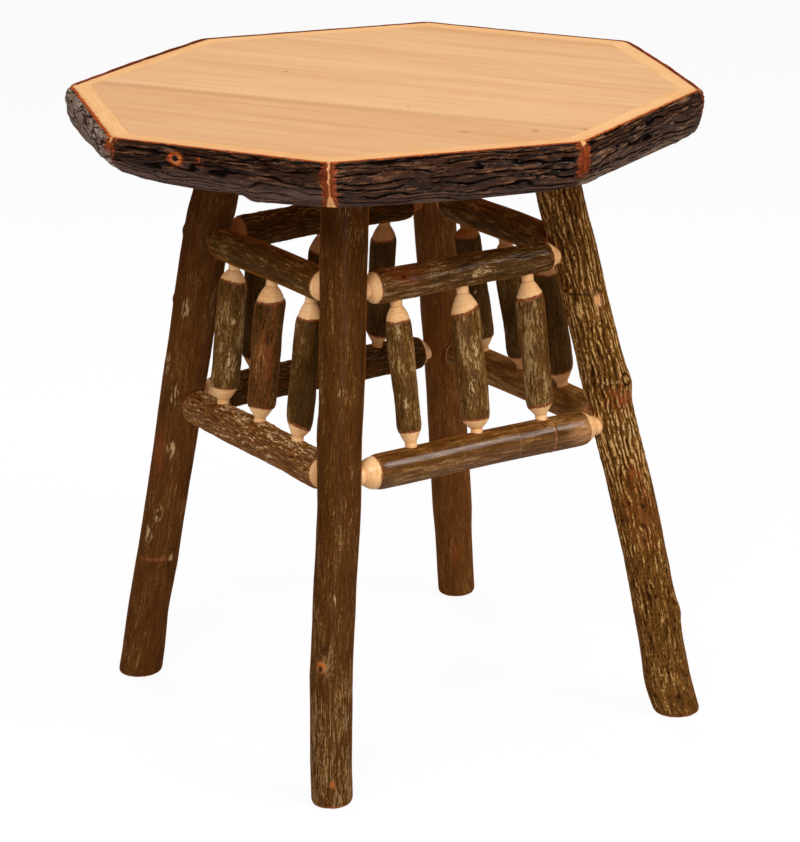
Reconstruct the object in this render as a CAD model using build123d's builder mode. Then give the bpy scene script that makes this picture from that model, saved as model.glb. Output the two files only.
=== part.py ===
from build123d import *
from math import cos, hypot, radians, sin, tan
import os

# Rustic hickory table. An octagonal plank top, edged with bark-on half logs, stands on four splayed
# round legs that are tied by two tiers of rails, with three spindles between the rails of each side.
# The origin is on the floor under the middle of the top, +Z is up and the front faces -Y.
# Lengths are in millimetres and angles in degrees.

# ---------------------------------------------------------------- overall
TABLE_HEIGHT = 914.4
TOP_ACROSS_FLATS = 828.0  # the planed face of the top, from bark to bark
TOP_SIDES = 8
TOP_TURN = 4.6  # the octagon sits turned a little on its legs

# ---------------------------------------------------------------- edge logs
EDGE_FACE = 26.0  # planed strip that shows on top
EDGE_HEIGHT = 68.0
EDGE_BULGE = 9.0  # how far the bark stands out past the planed strip
EDGE_BULGE_DROP = 30.0  # depth of the fullest point below the top
EDGE_UNDERSIDE = 17.0  # flat strip left underneath
CORNER_ROUND = 34.0  # the mitred corners are rounded over in plan
CORNER_MARGIN = 1.5  # keeps that rounding off the straight runs of bark

# ---------------------------------------------------------------- boards, dowels and battens
BOARD_THICKNESS = 26.0
BOARD_COUNT = 6
GLUE_LINE = 0.1
DOWEL_DIAMETER = 10.0
DOWEL_LENGTH = 46.0
DOWEL_IN_LOG = 20.0
DOWEL_SPACING = 160.0  # between the two dowels of one edge log
DOWEL_CHAMFER = 1.0
BATTEN_WIDTH = 90.0
BATTEN_THICKNESS = 36.0
BATTEN_INSET = 46.0  # from the end of a batten to the edge of the boards
BATTEN_CHAMFER = 12.0
SCREW_DIAMETER = 5.0
SCREW_LENGTH = 52.0
SCREW_HEAD_DIAMETER = 9.6
SCREW_HEAD_HEIGHT = 2.6
SCREW_POINT = 7.0
SCREW_RECESS = 2.4  # square drive, across its flats and as deep
SCREW_FROM_TENON = 78.0  # along the batten, each side of a leg's tenon
SCREW_STAGGER = 20.0  # off the middle line of the batten
HOLE_CLEARANCE = 0.1  # all round a screw or dowel
HOLE_RELIEF = 1.5  # free depth past the end of a dowel, tenon or screw

# ---------------------------------------------------------------- legs
FOOT_SPREAD = 585.2  # between neighbouring leg centres on the floor
HEAD_SPREAD = 308.8  # the same at the height of the top
LEG_FOOT_DIAMETER = 58.0
LEG_WAIST_DIAMETER = 62.5
LEG_WAIST_HEIGHT = 410.0
LEG_HEAD_DIAMETER = 68.5
LEG_TENON_DIAMETER = 38.0
FOOT_CHAMFER = 4.0
OVERRUN = 40.0  # stock left past a cut before it is trimmed

# Every pole leans its own way: shifts of foot and head in X and Y from the even square.
LEG_LEAN = {
    "front_left": ((2.0, -0.7), (6.0, 3.3)),
    "front_right": ((-3.0, -11.7), (5.0, -3.7)),
    "back_right": ((1.0, 4.3), (12.0, -8.7)),
    "back_left": ((13.0, 0.3), (-1.0, -3.7)),
}
LEG_CORNER = {
    "front_left": (-1, -1),
    "front_right": (1, -1),
    "back_right": (1, 1),
    "back_left": (-1, 1),
}

# ---------------------------------------------------------------- rails and spindles
UPPER_RAIL_HEIGHT = 685.5
UPPER_RAIL_DIAMETER = 47.5
LOWER_RAIL_HEIGHT = 436.0
LOWER_RAIL_DIAMETER = 50.0
RAIL_TENON_DIAMETER = 28.0
RAIL_SHOULDER = 22.0  # length of the tapered, peeled end
SPINDLE_COUNT = 3
SPINDLE_SPACING = 107.0
SPINDLE_DIAMETER = 37.0
SPINDLE_TENON_DIAMETER = 17.0
SPINDLE_TENON_DEPTH = 19.0
SPINDLE_NECK = 6.5  # bare tenon that shows between a rail and the tapered end
SPINDLE_SHOULDER = 18.5
SHOULDER_CROWN = 0.58  # 0.5 is a straight cone, more is fuller
TENON_CLEARANCE = 0.1  # glue room all round a tenon
TENON_CHAMFER = 1.5
SHOULDER_GAP = 0.5  # bare tenon left between a rail's shoulder and the leg it enters

# Each side of the frame runs from its first leg to its second, counter-clockwise from above.
SIDE_LEGS = {
    "front": ("front_left", "front_right"),
    "right": ("front_right", "back_right"),
    "back": ("back_right", "back_left"),
    "left": ("back_left", "front_left"),
}

# ---------------------------------------------------------------- worked out
HALF_TURN = 180.0 / TOP_SIDES  # half of the angle that one side spans
TOP_APOTHEM = TOP_ACROSS_FLATS / 2
FIELD_APOTHEM = TOP_APOTHEM - EDGE_FACE
BOARD_WIDTH = 2 * FIELD_APOTHEM / BOARD_COUNT
BOARD_UNDERSIDE = TABLE_HEIGHT - BOARD_THICKNESS
BATTEN_UNDERSIDE = BOARD_UNDERSIDE - BATTEN_THICKNESS
DOWEL_HEIGHT = TABLE_HEIGHT - BOARD_THICKNESS / 2
BOARD_ANGLE = TOP_TURN + HALF_TURN  # the boards lie side by side along this direction
RAIL_TENON_TIP = RAIL_TENON_DIAMETER / 2 + HOLE_RELIEF  # two tenons meet in a leg and stop short
RAIL_TIERS = {
    "upper": (UPPER_RAIL_HEIGHT, UPPER_RAIL_DIAMETER),
    "lower": (LOWER_RAIL_HEIGHT, LOWER_RAIL_DIAMETER),
}


def save(builder, name):
    """Label a finished piece and write it as one node."""
    builder.part.label = name
    export_step(builder.part, f"parts/{name}.step")


def bore(plane, diameter, depth):
    """Drill a round hole that starts on the plane and runs along its normal."""
    with BuildSketch(plane) as mouth:
        Circle(diameter / 2)
    extrude(mouth.sketch, amount=depth, mode=Mode.SUBTRACT)


def lengthwise_plane(start, direction):
    """A plane through a pole's axis: local X runs along the pole and local Y is its radius."""
    return Plane(origin=start, x_dir=direction, z_dir=Plane(start, z_dir=direction).x_dir)


# ---------------------------------------------------------------- where the legs stand
def leg_point(leg, height):
    """The point of a leg's axis at a height above the floor."""
    side = LEG_CORNER[leg]
    share = height / TABLE_HEIGHT
    spread = FOOT_SPREAD + (HEAD_SPREAD - FOOT_SPREAD) * share
    foot, head = LEG_LEAN[leg]
    x, y = (side[i] * spread / 2 + foot[i] + (head[i] - foot[i]) * share for i in (0, 1))
    return Vector(x, y, height)


def leg_direction(leg):
    return (leg_point(leg, TABLE_HEIGHT) - leg_point(leg, 0)).normalized()


def leg_radius(height):
    """Radius of a leg, which tapers upwards in two straight stretches that are blended."""
    if height < LEG_WAIST_HEIGHT:
        share = height / LEG_WAIST_HEIGHT
        return (LEG_FOOT_DIAMETER + (LEG_WAIST_DIAMETER - LEG_FOOT_DIAMETER) * share) / 2
    share = (height - LEG_WAIST_HEIGHT) / (TABLE_HEIGHT - LEG_WAIST_HEIGHT)
    return (LEG_WAIST_DIAMETER + (LEG_HEAD_DIAMETER - LEG_WAIST_DIAMETER) * share) / 2


# ---------------------------------------------------------------- where the rails and spindles lie
def rail_line(side, tier):
    """The ends of a rail's axis, each on the axis of a leg."""
    height = RAIL_TIERS[tier][0]
    first, second = SIDE_LEGS[side]
    return leg_point(first, height), leg_point(second, height)


def rail_neck(leg, height):
    """Distance from a leg's axis, along a rail, to where the rail's shoulder begins."""
    tilt = leg_direction(leg)
    lean = hypot(tilt.X, tilt.Y) / tilt.Z
    return leg_radius(height) * hypot(1, lean) + RAIL_TENON_DIAMETER / 2 * lean + SHOULDER_GAP


def spindle_line(side, index):
    """The ends of a spindle's axis, on the axes of the lower and the upper rail."""
    offset = (index - (SPINDLE_COUNT - 1) / 2) * SPINDLE_SPACING
    ends = []
    for tier in ("lower", "upper"):
        first, second = rail_line(side, tier)
        ends.append((first + second) / 2 + (second - first).normalized() * offset)
    return ends


# ---------------------------------------------------------------- pieces
def peeled_rod(start, end, tips, necks, tenon, body, shoulder):
    """A pole from tenon to tenon: round tenons, tapered shoulders and a body between them.

    Tips and necks are distances along the axis, from the start and back from the end.
    """
    length = (end - start).length
    radius, tenon_radius = body / 2, tenon / 2
    crown = (tenon_radius + (radius - tenon_radius) * SHOULDER_CROWN, shoulder / 2)
    near = (necks[0], necks[0] + crown[1], necks[0] + shoulder)
    far = (length - necks[1], length - necks[1] - crown[1], length - necks[1] - shoulder)
    near_tip, far_tip = tips[0], length - tips[1]
    direction = (end - start).normalized()
    with BuildSketch(lengthwise_plane(start, direction)) as profile:
        with BuildLine():
            Polyline(
                (near_tip, 0),
                (near_tip, tenon_radius - TENON_CHAMFER),
                (near_tip + TENON_CHAMFER, tenon_radius),
                (near[0], tenon_radius),
            )
            ThreePointArc((near[0], tenon_radius), (near[1], crown[0]), (near[2], radius))
            Line((near[2], radius), (far[2], radius))
            ThreePointArc((far[2], radius), (far[1], crown[0]), (far[0], tenon_radius))
            Polyline(
                (far[0], tenon_radius),
                (far_tip - TENON_CHAMFER, tenon_radius),
                (far_tip, tenon_radius - TENON_CHAMFER),
                (far_tip, 0),
                (near_tip, 0),
            )
        make_face()
    revolve(profile.sketch, axis=Axis(start, direction))


def make_leg(leg):
    foot, direction = leg_point(leg, 0), leg_direction(leg)
    stretch = 1 / direction.Z  # length along the axis for one millimetre of height
    with BuildPart() as pole:
        with BuildSketch(lengthwise_plane(foot, direction)):
            with BuildLine():
                top = TABLE_HEIGHT * stretch
                foot_radius, head_radius = LEG_FOOT_DIAMETER / 2, LEG_HEAD_DIAMETER / 2
                Polyline((top, 0), (-OVERRUN, 0), (-OVERRUN, foot_radius), (0, foot_radius))
                waist = (LEG_WAIST_HEIGHT * stretch, LEG_WAIST_DIAMETER / 2)
                Spline((0, foot_radius), waist, (top, head_radius))
                Line((top, head_radius), (top, 0))
            make_face()
        revolve(axis=Axis(foot, direction))
        split(bisect_by=Plane.XY, keep=Keep.TOP)
        chamfer(pole.edges().group_by(Axis.Z)[0], length=FOOT_CHAMFER)
        split(bisect_by=Plane.XY.offset(BATTEN_UNDERSIDE), keep=Keep.BOTTOM)

        tenon_start = leg_point(leg, BATTEN_UNDERSIDE - OVERRUN / 2)
        with BuildSketch(Plane(tenon_start, z_dir=direction)):
            Circle(LEG_TENON_DIAMETER / 2)
        extrude(amount=OVERRUN + BATTEN_THICKNESS)
        split(bisect_by=Plane.XY.offset(BOARD_UNDERSIDE - HOLE_RELIEF), keep=Keep.BOTTOM)

        for side, ends in SIDE_LEGS.items():
            if leg not in ends:
                continue
            for tier in RAIL_TIERS:
                first, second = rail_line(side, tier)
                inward = (second - first).normalized() * (1 if leg == ends[0] else -1)
                centre = first if leg == ends[0] else second
                mortise = Plane(centre + inward * (RAIL_TENON_TIP - HOLE_RELIEF / 2), z_dir=inward)
                bore(mortise, RAIL_TENON_DIAMETER + 2 * TENON_CLEARANCE, LEG_HEAD_DIAMETER)
    save(pole, f"leg_{leg}")


def make_rail(side, tier):
    height, diameter = RAIL_TIERS[tier]
    start, end = rail_line(side, tier)
    necks = [rail_neck(leg, height) for leg in SIDE_LEGS[side]]
    with BuildPart() as rail:
        tips = (RAIL_TENON_TIP, RAIL_TENON_TIP)
        peeled_rod(start, end, tips, necks, RAIL_TENON_DIAMETER, diameter, RAIL_SHOULDER)
        for index in range(SPINDLE_COUNT):
            low, high = spindle_line(side, index)
            centre, toward = (low, high) if tier == "lower" else (high, low)
            outward = (toward - centre).normalized()
            tip = diameter / 2 - SPINDLE_TENON_DEPTH - HOLE_RELIEF
            mortise = Plane(centre + outward * tip, z_dir=outward)
            bore(mortise, SPINDLE_TENON_DIAMETER + 2 * TENON_CLEARANCE, diameter)
    save(rail, f"{tier}_rail_{side}")


def make_spindle(side, index):
    low, high = spindle_line(side, index)
    rail_radii = [RAIL_TIERS[tier][1] / 2 for tier in ("lower", "upper")]
    with BuildPart() as spindle:
        tips = [radius - SPINDLE_TENON_DEPTH for radius in rail_radii]
        necks = [radius + SPINDLE_NECK for radius in rail_radii]
        tenon, body, shoulder = SPINDLE_TENON_DIAMETER, SPINDLE_DIAMETER, SPINDLE_SHOULDER
        peeled_rod(low, high, tips, necks, tenon, body, shoulder)
    save(spindle, f"spindle_{side}_{index + 1}")


# ---------------------------------------------------------------- the top
def top_plane(height, angle=BOARD_ANGLE):
    """A level plane whose local X points along an angle in plan."""
    return Plane(origin=(0, 0, height), x_dir=(cos(radians(angle)), sin(radians(angle)), 0))


def dowel_planes():
    """One plane for each edge dowel, at its inner end and facing outwards, log by log."""
    planes = []
    for log in range(TOP_SIDES):
        outward = top_plane(DOWEL_HEIGHT, BOARD_ANGLE + log * 2 * HALF_TURN)
        inner_end = FIELD_APOTHEM + DOWEL_IN_LOG - DOWEL_LENGTH
        for offset in (-DOWEL_SPACING / 2, DOWEL_SPACING / 2):
            origin = outward.from_local_coords(Vector(inner_end, offset, 0))
            planes.append(Plane(origin=origin, z_dir=outward.x_dir))
    return planes


def batten_middle(row):
    """Where a batten lies in Y: over the heads of the two front or the two back legs."""
    height = (BATTEN_UNDERSIDE + BOARD_UNDERSIDE) / 2
    return sum(leg_point(f"{row}_{hand}", height).Y for hand in ("left", "right")) / 2


def batten_reach(row):
    """Half the length of a batten, so that its corners stay inside the boards."""
    reach = []
    for edge in range(TOP_SIDES):
        angle = radians(BOARD_ANGLE + edge * 2 * HALF_TURN)
        for y in (batten_middle(row) - BATTEN_WIDTH / 2, batten_middle(row) + BATTEN_WIDTH / 2):
            room = FIELD_APOTHEM - y * sin(angle)
            if abs(cos(angle)) > sin(radians(HALF_TURN)):
                reach.append(room / abs(cos(angle)))
    return min(reach) - BATTEN_INSET


def screw_points(row):
    """Screws stand each side of the two leg tenons and in the middle of the batten."""
    height = (BATTEN_UNDERSIDE + BOARD_UNDERSIDE) / 2
    middle = batten_middle(row)
    left, right = (leg_point(f"{row}_{hand}", height).X for hand in ("left", "right"))
    places = [
        left - SCREW_FROM_TENON,
        left + SCREW_FROM_TENON,
        (left + right) / 2,
        right - SCREW_FROM_TENON,
        right + SCREW_FROM_TENON,
    ]
    stagger = [SCREW_STAGGER * (-1) ** number for number in range(len(places))]
    return [(x, middle + shift) for x, shift in zip(places, stagger)]


def screw_hole(point):
    """The bare hole of one screw, from the underside of the batten up into the boards."""
    plane = Plane(origin=(*point, BATTEN_UNDERSIDE), z_dir=(0, 0, 1))
    bore(plane, SCREW_DIAMETER + 2 * HOLE_CLEARANCE, SCREW_LENGTH + HOLE_RELIEF)


def make_board(index):
    """One board of the octagonal field, cut to its outline and bored for dowels and screws."""
    left = -FIELD_APOTHEM + index * BOARD_WIDTH
    with BuildPart() as board:
        with BuildSketch(top_plane(BOARD_UNDERSIDE)):
            RegularPolygon(FIELD_APOTHEM, TOP_SIDES, major_radius=False, rotation=HALF_TURN)
            with Locations((left + BOARD_WIDTH / 2, 0)):
                Rectangle(BOARD_WIDTH - GLUE_LINE, 4 * FIELD_APOTHEM, mode=Mode.INTERSECT)
        extrude(amount=BOARD_THICKNESS)
        for plane in dowel_planes():
            hole = Plane(origin=plane.origin - plane.z_dir * HOLE_RELIEF, z_dir=plane.z_dir)
            bore(hole, DOWEL_DIAMETER + 2 * HOLE_CLEARANCE, DOWEL_LENGTH)
        for row in ("front", "back"):
            for point in screw_points(row):
                screw_hole(point)
    save(board, f"top_board_{index + 1}")


def make_edge_log(log):
    """A half log along one side of the top: flat inside and on top, round bark outside."""
    angle = BOARD_ANGLE + log * 2 * HALF_TURN
    across = top_plane(0, angle)
    inner = FIELD_APOTHEM + GLUE_LINE
    bottom = TABLE_HEIGHT - EDGE_HEIGHT
    outer = TOP_APOTHEM + EDGE_BULGE
    section = Plane(origin=(0, 0, 0), x_dir=across.x_dir, z_dir=-across.y_dir)
    with BuildPart() as edge_log:
        with BuildSketch(section):
            with BuildLine():
                brow = (TOP_APOTHEM, TABLE_HEIGHT)
                fullest = (outer, TABLE_HEIGHT - EDGE_BULGE_DROP)
                heel = (inner + EDGE_UNDERSIDE, bottom)
                Line((inner, TABLE_HEIGHT), brow)
                ThreePointArc(brow, fullest, heel)
                Polyline(heel, (inner, bottom), (inner, TABLE_HEIGHT))
            make_face()
        extrude(amount=outer, both=True)

        # Both mitres and the rounded corners come from one wedge of a rounded octagon.
        with BuildSketch(top_plane(bottom - OVERRUN, angle)) as outline:
            RegularPolygon(outer + CORNER_MARGIN, TOP_SIDES, major_radius=False, rotation=HALF_TURN)
            fillet(outline.vertices(), radius=CORNER_ROUND)
            apex = GLUE_LINE / 2 / sin(radians(HALF_TURN))
            reach = 2 * outer
            spread = (reach - apex) * tan(radians(HALF_TURN))
            with BuildLine():
                Polyline((apex, 0), (reach, spread), (reach, -spread), close=True)
            make_face(mode=Mode.INTERSECT)
        extrude(amount=EDGE_HEIGHT + 2 * OVERRUN, mode=Mode.INTERSECT)

        for plane in dowel_planes()[2 * log : 2 * log + 2]:
            bore(plane, DOWEL_DIAMETER + 2 * HOLE_CLEARANCE, DOWEL_LENGTH + HOLE_RELIEF)
    save(edge_log, f"edge_log_{log + 1}")


def make_edge_dowels():
    with BuildPart() as dowels:
        with Locations(*[plane.location for plane in dowel_planes()]):
            bottom_aligned = (Align.CENTER, Align.CENTER, Align.MIN)
            Cylinder(DOWEL_DIAMETER / 2, DOWEL_LENGTH, align=bottom_aligned)
        chamfer(dowels.edges().filter_by(GeomType.CIRCLE), length=DOWEL_CHAMFER)
    save(dowels, "edge_dowels")


def make_batten(row):
    """A cleat across the boards that takes the screws and the heads of two legs."""
    with BuildPart() as batten:
        with BuildSketch(Plane.XY.offset(BATTEN_UNDERSIDE)):
            with Locations((0, batten_middle(row))):
                Rectangle(2 * batten_reach(row), BATTEN_WIDTH)
        extrude(amount=BATTEN_THICKNESS)
        lower_ends = batten.edges().filter_by(Axis.Y).group_by(Axis.Z)[0]
        chamfer(lower_ends, length=BATTEN_CHAMFER)
        for hand in ("left", "right"):
            leg = f"{row}_{hand}"
            mouth = Plane(leg_point(leg, BATTEN_UNDERSIDE - OVERRUN), z_dir=leg_direction(leg))
            depth = BATTEN_THICKNESS + 2 * OVERRUN
            bore(mouth, LEG_TENON_DIAMETER + 2 * TENON_CLEARANCE, depth)
        for point in screw_points(row):
            screw_hole(point)
            head_seat = Plane(origin=(*point, BATTEN_UNDERSIDE), z_dir=(0, 0, 1))
            with BuildSketch(head_seat):
                Circle(SCREW_HEAD_DIAMETER / 2 + HOLE_CLEARANCE)
            with BuildSketch(head_seat.offset(SCREW_HEAD_HEIGHT)):
                Circle(SCREW_DIAMETER / 2 + HOLE_CLEARANCE)
            loft(mode=Mode.SUBTRACT)
    save(batten, f"batten_{row}")


def make_screws(row):
    """Countersunk wood screws, driven up through a batten."""
    with BuildPart() as screw:
        with BuildSketch(Plane.XZ):
            with BuildLine():
                Polyline(
                    (0, 0),
                    (SCREW_HEAD_DIAMETER / 2, 0),
                    (SCREW_DIAMETER / 2, SCREW_HEAD_HEIGHT),
                    (SCREW_DIAMETER / 2, SCREW_LENGTH - SCREW_POINT),
                    (0, SCREW_LENGTH),
                    close=True,
                )
            make_face()
        revolve(axis=Axis.Z)
        with BuildSketch():
            Rectangle(SCREW_RECESS, SCREW_RECESS)
        extrude(amount=SCREW_RECESS, mode=Mode.SUBTRACT)
    with BuildPart() as screws:
        with Locations(*[(*point, BATTEN_UNDERSIDE) for point in screw_points(row)]):
            add(screw.part)
    save(screws, f"screws_{row}_batten")


os.makedirs("parts", exist_ok=True)
for leg_name in LEG_CORNER:
    make_leg(leg_name)
for side_name in SIDE_LEGS:
    for tier_name in RAIL_TIERS:
        make_rail(side_name, tier_name)
    for spindle_index in range(SPINDLE_COUNT):
        make_spindle(side_name, spindle_index)
for board_index in range(BOARD_COUNT):
    make_board(board_index)
for log_index in range(TOP_SIDES):
    make_edge_log(log_index)
make_edge_dowels()
for row_name in ("front", "back"):
    make_batten(row_name)
    make_screws(row_name)
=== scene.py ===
import math

import bpy
import numpy as np
from mathutils import Matrix, Vector


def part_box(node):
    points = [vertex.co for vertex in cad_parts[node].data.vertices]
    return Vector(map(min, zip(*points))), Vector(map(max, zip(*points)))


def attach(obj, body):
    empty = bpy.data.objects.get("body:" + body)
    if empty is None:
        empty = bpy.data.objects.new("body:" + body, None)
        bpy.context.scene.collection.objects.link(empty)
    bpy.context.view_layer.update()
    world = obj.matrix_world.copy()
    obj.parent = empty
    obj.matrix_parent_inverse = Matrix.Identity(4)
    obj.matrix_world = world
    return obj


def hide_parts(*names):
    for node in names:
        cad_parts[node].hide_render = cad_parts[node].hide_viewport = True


# Looks of the rustic hickory table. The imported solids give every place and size. The legs, rails,
# spindles and edge logs are replaced by bark-covered ones, and the planed pieces get materials.
# Lengths are in metres, or in mm where a comment or docstring says so, and +Z is up.

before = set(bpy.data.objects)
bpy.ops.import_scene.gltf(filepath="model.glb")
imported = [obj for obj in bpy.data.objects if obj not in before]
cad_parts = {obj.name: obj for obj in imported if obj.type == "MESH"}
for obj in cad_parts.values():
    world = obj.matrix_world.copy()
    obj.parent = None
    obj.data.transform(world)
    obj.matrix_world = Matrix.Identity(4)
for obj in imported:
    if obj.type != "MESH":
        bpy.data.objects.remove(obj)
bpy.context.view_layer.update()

# -------- camera
CAMERA_PLACE = (-2.5426, -4.1904, 1.9965)
CAMERA_AZIMUTH, CAMERA_ELEVATION, CAMERA_ROLL = (math.radians(v) for v in (-31.40, 17.84, -1.59))
CAMERA_LENS = 151.6

# -------- sizes
FINE = 0.0014  # spacing of the points on bark
TURN = 2 * math.pi
UP = np.array((0.0, 0.0, 1.0))
CAMERA_SIDE = np.array((math.sin(CAMERA_AZIMUTH), -math.cos(CAMERA_AZIMUTH), 0))
PICTURE_RIGHT = np.array((-CAMERA_SIDE[1], CAMERA_SIDE[0], 0))

TABLE_HEIGHT = 0.9144
BARK_THICKNESS = 0.0021
FOOT_ROUND = 0.008  # height over which the foot rounds in to its sole
FOOT_INSET = 0.0052  # how far it rounds in
LEG_WAIST = 0.41  # height of the middle one of a leg's three diameters
LEG_TENON = 0.019  # radius
# Shoulder length, tenon radius and bow of the rods in each material slot.
ROD_SIZES = {"rail_poles": (0.022, 0.014, 0.0012), "spindle_poles": (0.0185, 0.0085, 0.001)}

TOP_TURN = 27.1  # degrees from +X to the side that edge log 1 is on
CORNER_TAN = math.tan(math.radians(22.5))
CORNER_COS = math.cos(math.radians(22.5))
CORNER_ROUND = 0.034  # radius of the corners of the top
LOG_FACE = 0.026  # width of the planed face on top of a log
LOG_HEEL = 0.017  # width of its flat underside
BARK_ROUND = 0.088  # length of the bark round its section
LOG_GIRTH = 0.36  # girth that the noise in its bark is laid on
LOG_SEED = 20000  # the logs' noise seeds count from here


def smooth(low, high, value):
    """0 below low, 1 above high and a smooth rise between them."""
    share = np.clip((value - low) / (high - low), 0, 1)
    return share * share * (3 - 2 * share)


def fade(low, high, value):
    """1 below low, 0 above high and a smooth fall between them."""
    return 1 - smooth(low, high, value)


def bell(value, middle, width):
    """1 at the middle value, falling off to both sides."""
    return np.exp(-(((value - middle) / width) ** 2))


def noise(seed, along, around, cells):
    """Noise of about -1 to 1: along counts cells, around counts turns of so many cells."""
    slopes = np.random.default_rng(seed).random((256, cells)) * TURN
    along, across = np.broadcast_arrays(along, around * cells)
    row, column = np.floor(along).astype(int), np.floor(across).astype(int)
    u, v = along - row, across - column
    rise_u, rise_v = (t * t * t * (t * (t * 6 - 15) + 10) for t in (u, v))
    total = np.zeros(along.shape)
    for i in (0, 1):
        for j in (0, 1):
            slope = slopes[(row + i) % 256, (column + j) % cells]
            weight = (rise_u if i else 1 - rise_u) * (rise_v if j else 1 - rise_v)
            total += weight * (np.cos(slope) * (u - i) + np.sin(slope) * (v - j))
    return total * 1.5


def streaks(seed, along, around, girth, width, length, octaves=3):
    """Layered noise in streaks of about that width and length."""
    total = 0
    for octave in range(octaves):
        cells = max(3, round(girth / width * 2**octave))
        total = total + noise(seed + octave, along / length * 2**octave, around, cells) / 2**octave
    return total / 1.6


def cords(seed, along, around, girth, pitch, length, sway):
    """0 in the furrows and 1 on the crests of long, wavy cords that part and join along a stick."""
    count = max(3, round(girth / pitch))
    phase = around * count + sway * noise(seed, along / length, around, max(3, count // 2))
    phase = phase + 0.3 * sway * noise(seed + 1, along / length * 3, around, count)
    return np.abs(np.sin(np.pi * phase))


def ridges(seed, along, around, girth, width, length, sharp):
    """Thin raised lines, 0 to 1, that part and join again along a stick."""
    wander = noise(seed + 50, along / length, around, max(3, round(girth / width / 3)))
    cells = max(3, round(girth / width))
    field = noise(seed, along / length + 0.35 * wander, around + 0.25 * wander / cells, cells)
    return fade(0, sharp, np.abs(field))


def vertices(node):
    """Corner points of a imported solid, one to a row."""
    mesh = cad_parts[node].data
    flat = np.empty(len(mesh.vertices) * 3)
    mesh.vertices.foreach_get("co", flat)
    return flat.reshape(-1, 3)


def unit(vector):
    return vector / np.linalg.norm(vector)


def middle(points):
    return (points.min(axis=0) + points.max(axis=0)) / 2


def rod_ends(node):
    """The ends of a round rod's axis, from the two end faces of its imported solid."""
    points = vertices(node)
    axis = np.eye(3)[np.argmax(np.ptp(points, axis=0))]
    for _ in range(6):
        reach = points @ axis
        faces = (points[reach < reach.min() + 0.0008], points[reach > reach.max() - 0.0008])
        ends = [middle(face) for face in faces]
        axis = unit(ends[1] - ends[0])
    return ends


def rod_body(node, start, axis):
    """Radius of a rod and the stretch of its axis over which it has that radius."""
    points = vertices(node) - start
    reach = points @ axis
    radius = np.linalg.norm(points - reach[:, None] * axis, axis=1)
    full = reach[radius > radius.max() * 0.99]
    return radius.max(), full.min(), full.max()


class Stick:
    """A round stick: rings of points along an axis, with what is painted on them."""

    def __init__(self, start, end, facing, along, girth, seed, level=False):
        self.start, self.axis = start, unit(end - start)
        self.ahead = unit(facing - self.axis * (facing @ self.axis))
        self.aside = np.cross(self.axis, self.ahead)
        spokes = 8 * round(girth / FINE / 8)
        self.girth, self.seed, self.level = girth, seed, level
        self.along = along[:, None]
        self.around = np.arange(spokes)[None, :] / spokes
        self.radius = np.zeros((len(along), spokes))
        self.bend = np.zeros((len(along), 3))
        for layer in ("wood", "rim", "relief", "pale", "red", "dark"):
            setattr(self, layer, np.zeros(self.radius.shape))

    def angle(self, degrees):
        """Angle in degrees, -180 to 180, of each spoke from the one given."""
        return (self.around * 360 - degrees + 180) % 360 - 180

    def across(self, degrees):
        """Distance round the stick from the angle given."""
        return np.radians(self.angle(degrees)) * self.girth / TURN

    def spot(self, place, degrees, length, width):
        """1 in the middle of a spot and 0 beyond its half length and half width; sizes in mm."""
        far = (self.along - place / 1000) / (length / 1000)
        return fade(0, 1, np.hypot(far, self.across(degrees) / (width / 1000)))

    def field(self, kind, number, width, length, *shape):
        """One of the noise functions above, laid on the stick; width and length in mm."""
        seed = self.seed + number
        return kind(seed, self.along, self.around, self.girth, width / 1000, length / 1000, *shape)

    def streaks(self, number, width, length, octaves=2):
        return self.field(streaks, number, width, length, octaves)

    def patches(self, number, width, length, low, high, octaves=2):
        """0 to 1 in patches of about that width and length; low and high set their edges."""
        return smooth(low, high, self.streaks(number, width, length, octaves))

    def wander(self, number, cells):
        """Noise that changes round the stick only."""
        return noise(self.seed + number, self.along * 0, self.around, cells)

    def build(self, name, material):
        across = self.around * TURN
        spoke = np.cos(across)[..., None] * self.ahead + np.sin(across)[..., None] * self.aside
        slide = -spoke[..., 2:] / self.axis[2] if self.level else 0
        centre = self.start + self.along[..., None] * self.axis + self.bend[:, None, :]
        points = centre + self.radius[..., None] * (spoke + slide * self.axis)
        flat = np.stack((self.radius * np.cos(across), self.radius * np.sin(across)), axis=-1)
        far = np.broadcast_to(self.along + self.seed * 0.173, self.radius.shape)[..., None]
        return skin(name, points, np.concatenate((flat, far), axis=-1), vars(self), material)


def add_object(name, data):
    thing = bpy.data.objects.new(name, data)
    bpy.context.scene.collection.objects.link(thing)
    return thing


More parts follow.
